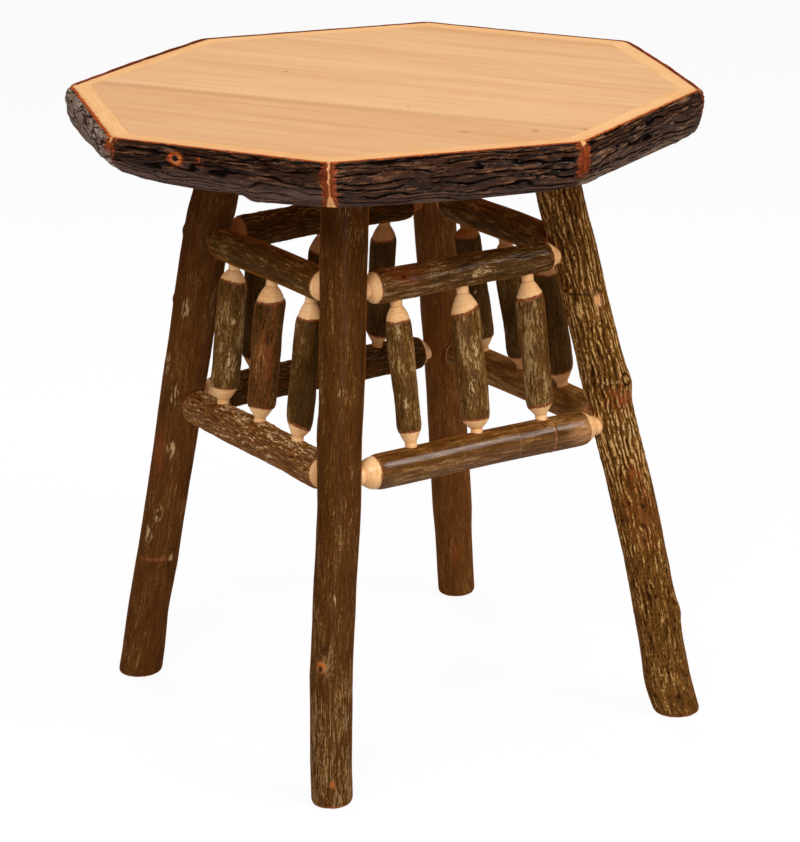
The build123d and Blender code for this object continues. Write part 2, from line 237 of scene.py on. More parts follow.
def skin(name, points, grain, paint, material):
    """A closed piece from rings of points, with a fan of triangles over each end."""
    rows, columns = points.shape[:2]
    number = np.arange(rows * columns).reshape(rows, columns)
    low, high = number[:-1], number[1:]
    quads = np.stack((low, np.roll(low, -1, 1), np.roll(high, -1, 1), high), axis=-1)
    first, last = rows * columns, rows * columns + 1
    fans = [(first, number[0, (j + 1) % columns], number[0, j]) for j in range(columns)]
    fans += [(last, number[-1, j], number[-1, (j + 1) % columns]) for j in range(columns)]

    def with_middles(values):
        rings = values.reshape(rows * columns, -1)
        return np.vstack((rings, values[0].mean(axis=0), values[-1].mean(axis=0)))

    mesh = bpy.data.meshes.new(name)
    mesh.from_pydata(with_middles(points), [], quads.reshape(-1, 4).tolist() + fans)
    marks = np.stack([paint[layer] for layer in ("wood", "rim", "relief")], axis=-1)
    tints = np.stack([paint[layer] for layer in ("pale", "red", "dark")], axis=-1)
    for layer, values in (("grain", grain), ("marks", marks), ("tints", tints)):
        attribute = mesh.attributes.new(layer, "FLOAT_VECTOR", "POINT")
        attribute.data.foreach_set("vector", with_middles(values).ravel())
    mesh.polygons.foreach_set("use_smooth", [True] * len(mesh.polygons))
    mesh.set_sharp_from_angle(angle=math.radians(55))
    mesh.materials.append(material)
    return add_object(name, mesh)


def install(piece, node):
    """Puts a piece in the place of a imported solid."""
    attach(piece, "root")
    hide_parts(node)


# -------- materials
def srgb(red, green, blue):
    """A screen colour of 0 to 255 in the linear values that shaders take."""
    shares = (value / 255 for value in (red, green, blue))
    return (*(s / 12.92 if s <= 0.04045 else ((s + 0.055) / 1.055) ** 2.4 for s in shares), 1)


def tones(*colours):
    return tuple(srgb(*colour) for colour in colours)


class Value:
    """What a node gives. Arithmetic with it adds math nodes."""

    def __init__(self, nodes, socket):
        self.nodes, self.socket = nodes, socket

    def __add__(self, other):
        return self.nodes.math("ADD", self, other)

    def __sub__(self, other):
        return self.nodes.math("SUBTRACT", self, other)

    def __rsub__(self, other):
        return self.nodes.math("SUBTRACT", other, self)

    def __mul__(self, other):
        return self.nodes.math("MULTIPLY", self, other)

    __rmul__ = __mul__

    def __abs__(self):
        return self.nodes.math("ABSOLUTE", self)

    def span(self, low, high, to_low=0.0, to_high=1.0):
        """A smooth change from to_low to to_high while the value goes from low to high."""
        inputs = {0: self, 1: low, 2: high, 3: to_low, 4: to_high}
        return self.nodes.add("MapRange", inputs, interpolation_type="SMOOTHSTEP")

    def ramp(self, *stops):
        node = self.nodes.node("ValToRGB", {0: self})
        elements = node.color_ramp.elements
        for number, (position, colour) in enumerate(stops):
            element = elements[number] if number < 2 else elements.new(position)
            element.position, element.color = position, colour
        return Value(self.nodes, node.outputs[0])


class Nodes:
    """The node tree of one material; each call adds nodes and returns what they give."""

    def __init__(self, name, **shader):
        self.material = bpy.data.materials.new(name)
        self.material.use_nodes = True
        self.tree = self.material.node_tree
        self.shader = self.tree.nodes["Principled BSDF"]
        self.feed(self.shader, {key.replace("_", " "): value for key, value in shader.items()})

    def feed(self, node, inputs):
        for key, value in inputs.items():
            if isinstance(value, Value):
                self.tree.links.new(value.socket, node.inputs[key])
            else:
                node.inputs[key].default_value = value

    def node(self, kind, inputs, **settings):
        node = self.tree.nodes.new("ShaderNode" + kind)
        for key, value in settings.items():
            setattr(node, key, value)
        self.feed(node, inputs)
        return node

    def add(self, kind, inputs, output=0, **settings):
        return Value(self, self.node(kind, inputs, **settings).outputs[output])

    def split(self, vector):
        node = self.node("SeparateXYZ", {"Vector": vector})
        return [Value(self, socket) for socket in node.outputs]

    def painted(self, layer):
        return self.add("Attribute", {}, "Vector", attribute_name=layer)

    def layers(self):
        """The six values painted on a mesh."""
        return *self.split(self.painted("marks")), *self.split(self.painted("tints"))

    def stretched(self, place, x, y, z):
        return self.add("VectorMath", {0: place, 1: (x, y, z)}, operation="MULTIPLY")

    def place(self):
        return self.add("TexCoord", {}, "Object")

    def length(self, vector):
        return self.add("VectorMath", {0: vector}, "Value", operation="LENGTH")

    def noise(self, place, stretch, scale, detail=2.0, roughness=0.5, distortion=0.0):
        """Noise drawn out along the axes whose stretch is below 1; a stretch of None leaves it even."""
        if stretch:
            place = self.stretched(place, *stretch)
        inputs = {"Vector": place, "Scale": scale, "Detail": detail}
        inputs.update({"Roughness": roughness, "Distortion": distortion})
        return self.add("TexNoise", inputs, "Fac")

    def math(self, operation, first, second=0.0, clamp=False):
        return self.add("Math", {0: first, 1: second}, operation=operation, use_clamp=clamp)

    def blend(self, share, first, second):
        inputs = {0: share, 6: first, 7: second}
        return self.add("Mix", inputs, 2, data_type="RGBA", blend_type="MIX")

    def over(self, colour, layer, weight, coat):
        """A colour with a coat over it where a painted layer is."""
        return self.blend(self.math("MULTIPLY", layer, weight, True), colour, coat)

    def facing(self):
        """0 on a surface that faces the eye and 1 on one seen edge-on."""
        return self.add("LayerWeight", {"Blend": 0.5}, "Facing")

    def varnish(self, coat, facing, darkening, gloss, faint):
        """Varnish that fades edge-on, so that dark bark keeps its painted warm rim light, and on dark knots
        and other dark paint.
        """
        coat = coat * facing.span(0.5, 0.9, gloss, faint) * darkening.span(0, 0.7, 1.0, 0.1)
        self.feed(self.shader, {"Coat Weight": coat})

    def finish(self, colour, roughness, height, depth):
        bump = self.add("Bump", {"Height": height, "Distance": depth, "Strength": 1.0})
        self.feed(self.shader, {"Base Color": colour, "Roughness": roughness, "Normal": bump})
        return self.material


CREAM = srgb(254, 199, 138)
CREAM_DARK = srgb(236, 169, 104)
CREAM_LIGHT = srgb(255, 216, 168)
CREAM_AMBER = srgb(206, 104, 26)
# stain of the cones, and painted shade on cones out of the light
CREAM_STAIN_AND_SHADE = srgb(150, 82, 30)
INNER_BARK = srgb(112, 52, 24)
INNER_BARK_LIGHT = srgb(172, 100, 58)
# pale flecks and lichen, and painted glints where the pale layer holds them
PALE_FLECK_AND_GLINT = srgb(198, 164, 114)
REDDISH = srgb(138, 66, 28)
# colour of dark marks, and of the painted shade on the legs' upper parts
DARK_MARK_AND_SHADE = srgb(26, 13, 5)
PAINTED_RIM_LIGHT = srgb(168, 102, 46)  # painted rim light, on bark seen edge-on


def stick_material(
    name, bark_tones, gloss=0.1, roughness=0.34, split=0.022, reach=0.12, fleck=0.22, blotch=0.3, grit=1.0
):
    """Varnished hickory bark with peeled ends; the layers painted on the mesh say where."""
    dark, mid, light, ridge = bark_tones
    nodes = Nodes(name, Specular_IOR_Level=0.0, Coat_Roughness=0.2)
    grain = nodes.painted("grain")
    wood, rim, relief, pale, red, darkening = nodes.layers()
    fibre = nodes.noise(grain, (1, 1, reach), 420, 4, 0.7, 0.5)
    thread = nodes.noise(grain, (1, 1, 0.7 * reach), 640, 3, 0.6)
    speck = nodes.noise(grain, (1, 1, 0.5), 430, 3, 0.7)
    cloud = nodes.noise(grain, (1, 1, 0.3), 36, 4, 0.6)
    flecks = nodes.noise(grain, (1, 1, fleck), 560)
    splits = nodes.noise(grain, (1, 1, 0.5 * reach), 260, 2, 0.5, 0.3)

    grain_tone = 0.30 * fibre + 0.42 * thread + 0.36 * speck
    level = 0.54 * (1 - grit) + 0.5 * (0.3 - blotch)
    tone = grit * grain_tone + 0.5 * relief + blotch * cloud + level
    bark = tone.ramp((0.72, dark), (0.94, mid), (1.16, light), (1.40, ridge))
    crack = abs(splits - 0.5).span(0.0, split, 0.65, 0.0)
    bark = nodes.blend(crack, bark, dark)
    # pale flecks and lichen, and on some sticks painted glints
    bright = (0.7 * flecks + 0.3 * speck + 0.22 * pale).span(0.60, 0.72)
    bark = nodes.blend(bright * pale.span(0, 0.7, 0.1, 0.9), bark, PALE_FLECK_AND_GLINT)
    bark = nodes.over(bark, red * cloud.span(0.3, 0.6, 0.5, 1.0), 0.9, REDDISH)
    # dark marks, and painted shade on the legs' upper parts
    bark = nodes.over(bark, darkening, 0.9, DARK_MARK_AND_SHADE)
    facing = nodes.facing()
    # painted rim light: bark seen edge-on turns warm
    bark = nodes.blend(facing.span(0.6, 0.95, 0.0, 0.7), bark, PAINTED_RIM_LIGHT)

    depth = nodes.length(nodes.stretched(grain, 1, 1, 0))
    warp = nodes.noise(grain, None, 60)
    rings = nodes.math("SINE", 2600 * depth + 16.0 * warp)
    lathe = nodes.noise(grain, (0.15, 0.15, 1), 700)
    flesh = 0.03 * rings + 0.25 * lathe + 0.4 * fibre + 0.35 * cloud
    timber = flesh.ramp((0.34, CREAM_DARK), (0.5, CREAM), (0.66, CREAM_LIGHT))
    timber = nodes.over(timber, red, 0.8, CREAM_AMBER)
    # stain on the cones, partly painted shade
    timber = nodes.over(timber, darkening, 0.85, CREAM_STAIN_AND_SHADE)

    edge = nodes.blend(fibre.span(0.4, 0.62), INNER_BARK, INNER_BARK_LIGHT)
    colour = nodes.blend(wood, nodes.blend(rim, bark, edge), timber)
    rough = 0.3 * fibre + 0.1 * wood + 0.15 * pale + roughness
    nodes.varnish(relief.span(0.1, 0.6, 0.3, 1.0), facing, darkening, gloss, 0.0)
    height = 0.7 * fibre + 0.35 * thread + 0.4 * speck - 0.35 * crack
    return nodes.finish(colour, rough, height * wood.span(0, 1, 1.0, 0.12), 0.0009)


# -------- legs
# Height, how far the stick bows to the right of the picture, and how much its radius swells: all mm.
LEG_BOWS = {
    "front_left": (
        (0, 0, 0), (55, -2.8, 0), (135, -4.0, 0), (175, -4.9, 0.5), (215, -4.2, 0), (255, -3.2, 0),
        (295, -2.4, 0), (335, -0.6, 0), (395, 1.0, 0), (475, -0.3, 0), (495, -0.6, 0.6),
        (535, 1.4, 0), (600, 1.2, 0), (720, 0, 0), (860, 0, 0),
    ),
    "front_right": (
        (0, -0.5, 4.2), (35, -3.6, 5.2), (55, -3.9, 4.6), (75, -2.2, 3.4), (115, -0.4, 2.4),
        (155, 2.2, 3.2), (195, 2.8, 1.5), (235, 4.0, 1.2), (315, 4.6, 2.0), (355, 4.4, 1.6),
        (395, 2.9, 1.3), (455, 1.6, 1.0), (475, 2.2, 1.6), (500, 3.0, 3.2), (515, 3.0, 3.2),
        (535, 2.2, 1.6), (575, 1.6, 1.0), (615, 0.6, 0), (700, 0, 0), (745, -2.8, 0), (860, -1, 0),
    ),
    "back_left": (
        (0, 0, 3.0), (35, -0.1, 2.5), (95, -2.7, 1.0), (175, -1.2, 1.4), (255, -1.5, 0.2),
        (375, -1.5, 0.2), (475, -2.6, 1.1), (535, -2.6, 1.1), (600, -3.4, 1.2), (695, -4.0, 1.2),
        (735, -1.8, 2.2), (755, 0.2, 0.3), (860, 4.0, 0),
    ),
    "back_right": (
        (0, 0, 0), (115, 0, 0), (155, 0.6, 1.5), (195, 0.6, 1.2), (295, 0.9, 0), (375, 1.4, 0.3),
        (450, 1.8, 0.5), (515, 0.8, 0), (655, -1.0, 0.3), (860, 0, 0),
    ),
}


def eased(rows, points, column):
    """A column of listed points as a smooth curve over the rows, in metres."""
    table = np.array(points, dtype=float) / 1000
    steps = np.linspace(-0.012, 0.012, 9)
    return np.mean([np.interp(rows + step, table[:, 0], table[:, column]) for step in steps], axis=0)


def plain_leg(stick):
    """Fine-grained bark with shallow furrows: paints its relief and gives how far it stands out."""
    fibres = stick.streaks(1, 5, 60, 3)
    furrows = smooth(0.05, 0.4, stick.field(cords, 11, 12, 50, 0.9))
    furrows = furrows * stick.patches(23, 20, 60, -0.5, 0.4)
    stick.relief = np.clip(0.38 + 0.12 * furrows + 0.12 * fibres, 0, 1)
    return 0.0004 * furrows + 0.0003 * fibres


def ridged_leg(stick):
    """Corded bark with pale crests, partly wear and partly painted highlight, pitted below and ridged above.
    """
    ridged = np.interp(stick.along, (0, 0.10, 0.18, 0.32, 0.40, 0.9), (-0.5, -0.4, 0.0, -0.1, 0.7, 0.6))
    ridged = smooth(-0.5, 0.3, ridged + stick.streaks(27, 22, 35))
    long = 1 - (1 - stick.field(cords, 11, 7.8, 40, 0.7)) * ridged
    short = stick.field(cords, 17, 4, 16, 1.2)
    # how pale the crests are by height; the peak at 0.42 to 0.49 m is painted highlight
    bare = np.interp(stick.along, (0, 0.36, 0.42, 0.49, 0.52, 0.9), (0.55, 0.55, 1.0, 1.0, 0.60, 0.40))
    crest = long**12 * stick.patches(21, 10, 20, -0.6, 0.4) * bare
    crest = crest * (0.2 + 0.8 * smooth(0.2, 0.8, short)) * ridged
    body = smooth(0.18, 0.60, long)
    fine = stick.streaks(25, 3, 30)
    nick = fade(0.05, 0.40, short) * smooth(-0.3, 0.3, fine)
    gouge = stick.patches(29, 4.5, 14, 0.30, 0.55) * (1 - 0.6 * ridged) + 0.4 * nick
    relief = 0.18 + 0.30 * body + 0.75 * crest + 0.24 * fine - 0.7 * gouge
    stick.relief = np.clip(relief, 0, 1.3)
    return 0.0017 * body + 0.0009 * crest + 0.0003 * fine - 0.0006 * gouge - 0.0026


# Scars, knots and stains of each leg, with painted glints and painted shade on some legs, placed
# by mm up the leg and degrees from the camera's side. Each function paints them and gives how far
# they stand out.
def mark_front_left(stick):
    spot = stick.spot
    # painted glints: pale streaks up the middle of the leg, where the varnish catches light
    painted_glint_streaks = stick.patches(33, 3, 12, -0.3, 0.3)
    stick.pale += 0.9 * painted_glint_streaks * spot(832, 6, 55, 6)
    for height, degrees in ((452, 5), (405, -12), (290, -2), (232, -22), (580, -4)):
        stick.pale += 0.7 * painted_glint_streaks * spot(height, degrees, 18, 6)
    patchy = 0.36 + 0.22 * stick.streaks(36, 20, 60)
    stick.pale += patchy * (1.0 - 0.8 * smooth(0.12, 0.22, stick.along))
    stick.pale += 0.45 * spot(771, -10, 8, 10)
    scar = (197, -30)
    ring = 2.4 * (spot(*scar, 10.5, 10) - 1.2 * spot(196, -31, 7.5, 6.8))
    ring = np.clip(ring, 0, 1) * stick.patches(43, 4, 4, -0.9, 0.2, 1)
    mark = spot(36, 4, 8, 4.5)
    uphill = stick.across(scar[1]) + stick.along - scar[0] / 1000
    stick.wood += (0.2 + 0.65 * smooth(-0.006, 0.006, uphill)) * ring + 0.6 * mark
    stick.red += 1.8 * ring + 1.8 * mark
    stick.dark += 0.9 * spot(*scar, 6, 5) + 0.7 * spot(224, -20, 16, 10)
    # painted shade: darker towards the top of the leg, under the table top
    stick.dark += 0.2 * smooth(0.72, 0.86, stick.along)
    stick.relief += 0.07 * fade(0.15, 0.45, stick.along)
    return 0.0016 * ring + 0.0014 * spot(224, -20, 14, 10)


def mark_front_right(stick):
    spot = stick.spot
    height = stick.along * stick.axis[2] + 0.002 * stick.wander(3, 9)
    ring = bell(height, 0.632, 0.0028) * smooth(-75, -45, stick.angle(0))
    ring = ring * fade(38, 60, stick.angle(0))
    ragged = stick.patches(47, 4, 6, -0.5, 0.2)
    stick.dark += 0.8 * ring * ragged
    stick.wood += np.clip(2.0 * ragged * spot(637, 33, 14, 9), 0, 0.8)
    stick.red += 0.5 * spot(637, 33, 18, 12)
    eye = spot(515, 56, 13, 10)
    knee = 0.0032 * spot(506, 78, 26, 22) + 0.0012 * spot(515, 56, 18, 15)
    stick.relief = stick.relief * fade(0.1, 0.4, eye) + 0.55 * smooth(0.3, 0.6, eye)
    stick.pale += 0.5 * smooth(0.4, 0.8, eye)
    stick.dark += 0.9 * smooth(0.02, 0.2, eye) * fade(0.25, 0.5, eye)
    shelf = bell(height, 0.503, 0.003) * fade(20, 60, np.abs(stick.angle(15)))
    stick.pale += 0.5 * shelf
    ruddy = stick.patches(37, 8, 12, -0.4, 0.3) * stick.patches(45, 3, 10, -0.5, 0.2)
    for strength, *place in ((1.9, 490, 28, 32, 36), (1.1, 375, 22, 24, 20), (0.9, 320, 10, 100, 50)):
        stick.red += strength * ruddy * spot(*place)
    stick.pale += 0.5 * stick.patches(39, 4, 7, -0.2, 0.4) * spot(90, 35, 80, 30)
    # painted glints: pale crests where the light catches the ridges
    painted_glint_zone = np.clip(1.5 * spot(452, 20, 65, 40), 0, 1)
    stick.pale += 2.1 * painted_glint_zone * smooth(0.55, 0.85, stick.relief)
    stick.relief -= 0.07 * fade(0.25, 0.40, stick.along)
    # painted shade: darker towards the top of the leg, under the table top
    stick.dark += 0.20 * smooth(0.62, 0.74, stick.along)
    bump = 0.0034 * spot(159, 70, 26, 16)
    return 0.0018 * ring + knee - 0.0020 * smooth(0.45, 1.0, eye) + 0.0012 * shelf + bump


def mark_back_left(stick):
    spot = stick.spot
    scratch = stick.patches(35, 3, 14, -0.4, 0.1)
    places = ((599, -24), (512, -57), (467, -20), (377, -8), (272, -14), (238, -35))
    for height, degrees in places:
        stick.pale += scratch * spot(height, degrees, 30, 12)
    stick.red += 0.6 * spot(370, -45, 70, 18) * smooth(-0.4, 0.3, scratch)
    ring = bell(stick.along * stick.axis[2], 0.192, 0.0022) * fade(25, 55, np.abs(stick.angle(-10)))
    stick.rim += 0.7 * ring * smooth(-0.6, 0.2, scratch)
    stick.pale += 0.9 * spot(196, 40, 12, 8)
    # the second term is painted shade, darker over the upper leg
    stick.dark += 0.7 * spot(184, 35, 14, 6) + 0.25 * smooth(0.45, 0.75, stick.along)
    knots = 0.0022 * spot(715, -85, 12, 10) + 0.0016 * spot(609, -85, 10, 8)
    return 0.0008 * ring + knots


def mark_back_right(stick):
    stick.red += 0.9 * stick.spot(79, 1, 35, 7)
    return 0


# Diameters in mm at the foot, at the waist and at the head, then the bark, the marks and the tones.
LEGS = {
    "front_left": (
        (57, 60, 68), plain_leg, mark_front_left,
        tones((54, 27, 5), (90, 53, 19), (108, 70, 31), (140, 104, 62)),
    ),
    "front_right": (
        (59, 63, 69.5), ridged_leg, mark_front_right,
        tones((44, 23, 5), (120, 77, 31), (156, 108, 52), (208, 162, 100)),
    ),
    "back_left": (
        (57.5, 61.5, 67), plain_leg, mark_back_left,
        tones((60, 31, 8), (100, 58, 22), (116, 72, 31), (138, 96, 56)),
    ),
    "back_right": (
        (57, 61.4, 65.4), plain_leg, mark_back_right,
        tones((78, 42, 13), (119, 70, 28), (138, 86, 37), (156, 105, 56)),
    ),
}


def make_leg(leg, number):
    """One leg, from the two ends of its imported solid, with its sole and the tenon at its head."""
    node = f"leg_{leg}"
    points = vertices(node)
    top = points[:, 2].max()
    ends = [middle(points[np.abs(points[:, 2] - height) < 1e-5]) for height in (0, top)]
    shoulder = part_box("batten_front")[0][2]
    axis = unit(ends[1] - ends[0])
    body = np.arange(0, shoulder, FINE)
    neck = np.concatenate(([shoulder] * 3, np.linspace(shoulder, top, 8)[1:], [top]))
    heights = np.concatenate(([0, 0, 0], body, neck))
    (foot, waist, head), bark, mark, leg_tones = LEGS[leg]
    girth = math.pi * waist / 1000
    stick = Stick(ends[0], ends[1], CAMERA_SIDE, heights / axis[2], girth, 1000 * number, level=True)
    radius = np.interp(heights, (0, LEG_WAIST, TABLE_HEIGHT), (foot / 2000, waist / 2000, head / 2000))
    radius = (radius + eased(heights, LEG_BOWS[leg], 2))[:, None]
    stick.radius = radius + bark(stick) + 0.0008 * stick.streaks(5, 50, 160) + mark(stick)
    stick.bend = eased(heights, LEG_BOWS[leg], 1)[:, None] * PICTURE_RIGHT
    stick.bend += 0.002 * np.sin(heights * 9 + number)[:, None] * CAMERA_SIDE

    worn = np.clip(1 - heights[:, None] / FOOT_ROUND, 0, 1)
    inset = FOOT_INSET * (1 - np.sqrt(1 - worn**2))
    stick.radius -= inset * (1 + 0.3 * stick.streaks(41, 12, 50))
    sawn = smooth(0.5, 0.62, worn)
    stick.wood = np.maximum(stick.wood, 0.5 * sawn)
    stick.red = np.maximum(stick.red, 1.3 * sawn)
    # The first three rings close the sole. The last ones step in to the tenon.
    for row, share in enumerate((0.3, 0.6, 0.93)):
        stick.radius[row] *= share
    stick.radius[1 - len(neck) :] = np.minimum(stick.radius[1 - len(neck) :], LEG_TENON)
    stick.radius[-1] = 0.008
    for rows in (slice(3), slice(-len(neck), None)):
        stick.wood[rows] = 1
        stick.rim[rows] = 0
    stick.red[:3] = 0.15
    blotch, grit = (0.3, 1.0) if leg == "front_right" else (0.20, 0.8)
    looks = {"reach": 0.10, "fleck": 0.07, "blotch": blotch, "grit": grit}
    material = stick_material(f"bark_{node}", leg_tones, 0.08, 0.5, **looks)
    install(stick.build(f"{node}_bark", material), node)


# -------- rails and spindles
class Tip:
    """The peeled end of a rod: its length, how full its cone is, how wide the edge of the bark is,
    how far that leans towards which angle, how ragged it is, and how stained the cone is, with
    painted shade on cones out of the light. Lengths are in mm.
    """

    def __init__(self, length, crown, rim=1.4, lean=1, toward=0, ragged=1.0, stain_and_shade=0.0):
        self.length, self.rim, self.lean = length / 1000, rim / 1000, lean / 1000
        self.crown, self.toward, self.ragged, self.stain_and_shade = crown, toward, ragged, stain_and_shade


# Patches on single rods: layer, strength, and a spot as Stick.spot takes it.
PATCHES = {
    "spindle_front_1": (("pale", 1.0, 184, -5, 24, 12), ("pale", 1.0, 80, 0, 22, 10)),
    "spindle_front_2": (("pale", 1.0, 135, 30, 50, 12), ("pale", 0.9, 88, 0, 26, 14)),
    "spindle_front_3": (("dark", 0.3, 130, 0, 130, 60),),
    "spindle_left_1": (
        ("pale", 1.2, 143, 15, 7, 5), ("pale", 1.3, 87, 10, 22, 4),
        ("pale", 0.3, 120, 0, 120, 50),
    ),
    "spindle_left_2": (("red", 0.7, 110, 10, 40, 10), ("dark", 0.5, 180, -40, 30, 10)),
    "spindle_right_3": (("pale", 1.2, 120, 0, 7, 6),),
    "upper_rail_front": (("dark", 1.0, 70, 55, 7, 6), ("dark", 0.6, 345, 60, 20, 8)),
    "upper_rail_left": (("dark", 0.6, 100, 60, 50, 8), ("dark", 0.6, 240, 40, 60, 6)),
}


def peel(stick, body, shoulders, tenon, tips):
    """Cuts the two tapered ends of a rod out of its bark, with ragged edges where the bark stops."""
    bark = stick.radius
    thickness = BARK_THICKNESS * (1 + 0.2 * stick.streaks(61, 20, 30, 1))
    inner = body - thickness
    cut, torn, wood, stain_and_shade = 1.0, 0.0, 0.0, 0.0
    for end, (tip, shoulder) in enumerate(zip(tips, shoulders)):
        inward = (stick.along - shoulder) * (1 - 2 * end)
        first = 70 + 5 * end
        jag = 0.0004 * stick.wander(first, 23) + 0.0009 * stick.wander(first + 1, 5)
        lean = tip.lean * np.cos(np.radians(stick.angle(tip.toward)))
        length = tip.length + lean + tip.ragged * jag
        past = inward - length
        share = inward / (length - tip.rim)
        within = np.clip(share, 0, 1)
        cone = tenon + (inner - tenon) * (within + tip.crown * within * (1 - within))
        rise = smooth(0, 1, (past + tip.rim) / tip.rim)
        cone = np.where(share > 1, inner + (bark + 0.0004 - inner) * rise, cone)
        cut = np.minimum(cut, np.where(past > 0.0005, 1.0, cone))
        bark = bark - 0.0009 * fade(0, 0.010, past)
        wood = np.maximum(wood, fade(0, 0.0006, past + tip.rim))
        stain_and_shade = np.where(past < 0, tip.stain_and_shade, stain_and_shade)
        chips = noise(stick.seed + first + 2, stick.along * 250, stick.around, 23)
        chip = 0.0007 + 0.0012 * tip.ragged * smooth(0.0, 0.9, chips)
        torn = np.maximum(torn, fade(chip, chip + 0.0006, past))
    groove = sum(bell(stick.along, place, 0.0009) for place in shoulders)
    stick.radius = np.minimum(bark - 0.35 * torn * thickness, cut) - 0.0004 * groove
    stick.radius += wood * 0.0002 * stick.streaks(65, 12, 12, 1)
    stick.wood = np.maximum(stick.wood, wood)
    stick.rim = np.clip(torn - wood, 0, 1)
    # the stain, with its painted shade, also reddens the cone
    stick.red = np.maximum(stick.red * (1 - wood) + 0.7 * stain_and_shade * wood, 0.6 * groove)
    stick.pale *= 1 - wood
    stick.dark = stick.dark * (1 - wood) + stain_and_shade * wood


def make_rod(node, number, facing, slot, material, bark, tips, swell=(1.0, 1.0)):
    """One rail or spindle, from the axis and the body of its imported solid."""
    shoulder, tenon, bow = ROD_SIZES[slot]
    start, end = rod_ends(node)
    length = np.linalg.norm(end - start)
    body, first, last = rod_body(node, start, (end - start) / length)
    rows = np.concatenate(([0], np.arange(0, length, FINE), [length, length]))
    stick = Stick(start, end, facing, rows, TURN * body, 1000 * number)
    share = np.clip((stick.along - first) / (last - first), 0, 1)
    body = body * (swell[0] + (swell[1] - swell[0]) * share)
    stick.radius = body + bark(stick)
    for layer, strength, *place in PATCHES.get(node, ()):
        patch = stick.spot(*place) * stick.patches(81, 4, 10, -0.7, 0.3)
        setattr(stick, layer, getattr(stick, layer) + strength * patch)
    peel(stick, body, (first - shoulder, last + shoulder), tenon, tips)
    arch = np.sin(np.pi * share) ** 2
    stick.bend = bow * arch * stick.ahead + 0.4 * bow * np.sin(TURN * share) * stick.aside
    stick.radius[0] = stick.radius[-1] = tenon * 0.5
    install(stick.build(f"{node}_bark", material), node)


# Barks of rods: each function paints a stick and gives how far its bark stands out.
def smooth_bark(stick):
    fibres = stick.streaks(1, 5, 50, 3)
    stick.relief = np.clip(0.45 + 0.35 * fibres, 0, 1)
    stick.pale = 0.16 * stick.patches(45, 20, 50, 0.2, 0.7)
    return 0.0003 * fibres + 0.0008 * stick.streaks(5, 40, 120)


def glossy_bark(stick):
    """The lower front rail: smooth, with ring scars, two dark knot marks and an amber end."""
    lift = 0.5 * smooth_bark(stick)
    spot = stick.spot
    stick.pale *= 0
    for place, depth in ((0.172, 0.12), (0.265, 0.22), (0.324, 0.9)):
        along = stick.along + 0.0008 * stick.wander(3, 11)
        ring = depth * bell(along, place, 0.0016)
        lift = lift + 0.0006 * ring
        stick.wood += 0.45 * ring * stick.patches(49, 4, 20, -0.5, 0.3, 1)
        stick.red += 0.8 * ring
        stick.dark += 0.35 * depth * bell(along, place + 0.003, 0.0015)
    knots = 1.5 * spot(165, 22, 12, 10) + 1.2 * spot(312, 28, 8, 9)
    stick.dark += knots * stick.patches(51, 3, 5, -0.1, 0.4)
    amber = spot(378, 85, 45, 34) * stick.patches(55, 4, 30, -0.6, 0.3)
    stick.wood += 0.5 * amber
    stick.red += 0.5 * amber
    return lift


def lichen_bark(stick):
    """The upper front rail: reddish at its first end, a tan patch in the middle, dark on top, with painted
    highlight streaks along the top.
    """
    lift = smooth_bark(stick)
    spot = stick.spot
    stick.red += 0.8 * spot(75, 40, 50, 30)
    tan = spot(197, 85, 30, 10) + spot(180, 100, 16, 6)
    stick.pale += 1.6 * tan * stick.patches(53, 4, 12, -0.3, 0.2)
    streaked = stick.patches(57, 3, 30, 0.1, 0.6)
    stick.dark += 0.5 * spot(250, 20, 220, 30) * (1 - streaked)
    # painted highlight: pale streaks along the top
    stick.pale += 0.9 * spot(280, 20, 160, 16) * streaked
    return lift + 0.002 * spot(85, 30, 10, 8) + 0.0010 * stick.streaks(58, 5, 18)


def rough_bark(stick):
    """Bark with a network of low ridges and pale, torn fibres, kept to the top side, where the pale is also
    painted highlight.
    """
    web = stick.field(cords, 11, 6.2, 35, 0.9) ** 3
    fibres = stick.streaks(1, 3.2, 22, 3)
    top = fade(20, 80, np.abs(stick.angle(12)))
    torn = stick.patches(47, 20, 30, -0.5, 0.3)
    flakes = stick.field(ridges, 51, 5.5, 22, 0.26) * torn * (0.25 + 0.75 * top)
    stick.relief = np.clip(0.26 + 0.26 * web + 0.24 * fibres + 0.45 * flakes, 0, 1.3)
    # pale torn fibres on the top side, also standing for painted highlight
    stick.pale = 0.50 * top * torn + 0.25 * flakes
    stick.red = (0.40 - 0.3 * top) * stick.patches(55, 12, 40, 0.0, 0.5)
    broad = stick.streaks(5, 35, 70)
    return 0.0010 * web + 0.0006 * fibres + 0.0009 * flakes + 0.0018 * broad


def dark_bark(stick):
    lift = rough_bark(stick)
    stick.dark += 0.4
    stick.pale *= 0.25
    return 0.8 * lift


def spindle_bark(stick):
    fibres = stick.streaks(1, 4, 12, 3)
    furrows = smooth(0.05, 0.5, stick.field(cords, 11, 7, 30, 0.9))
    relief = 0.32 + 0.22 * furrows + 0.12 * fibres + 0.12 * stick.streaks(27, 20, 50)
    stick.relief = np.clip(relief, 0, 1)
    stick.pale = 0.4 * stick.patches(45, 22, 50, 0.4, 0.9, 3)
    return 0.0004 * fibres + 0.0004 * furrows + 0.0014 * stick.streaks(5, 30, 60)


def red_spindle_bark(stick):
    """Orange-brown bark with many narrow fissures."""
    lift = spindle_bark(stick)
    crests = smooth(0.1, 0.55, stick.field(cords, 13, 4.6, 35, 0.9))
    stick.relief = 0.05 + 0.15 * stick.relief + 0.34 * crests
    stick.pale *= 0.1
    stick.red = 0.6 * stick.patches(57, 4, 50, -0.3, 0.5)
    return lift + 0.0004 * crests


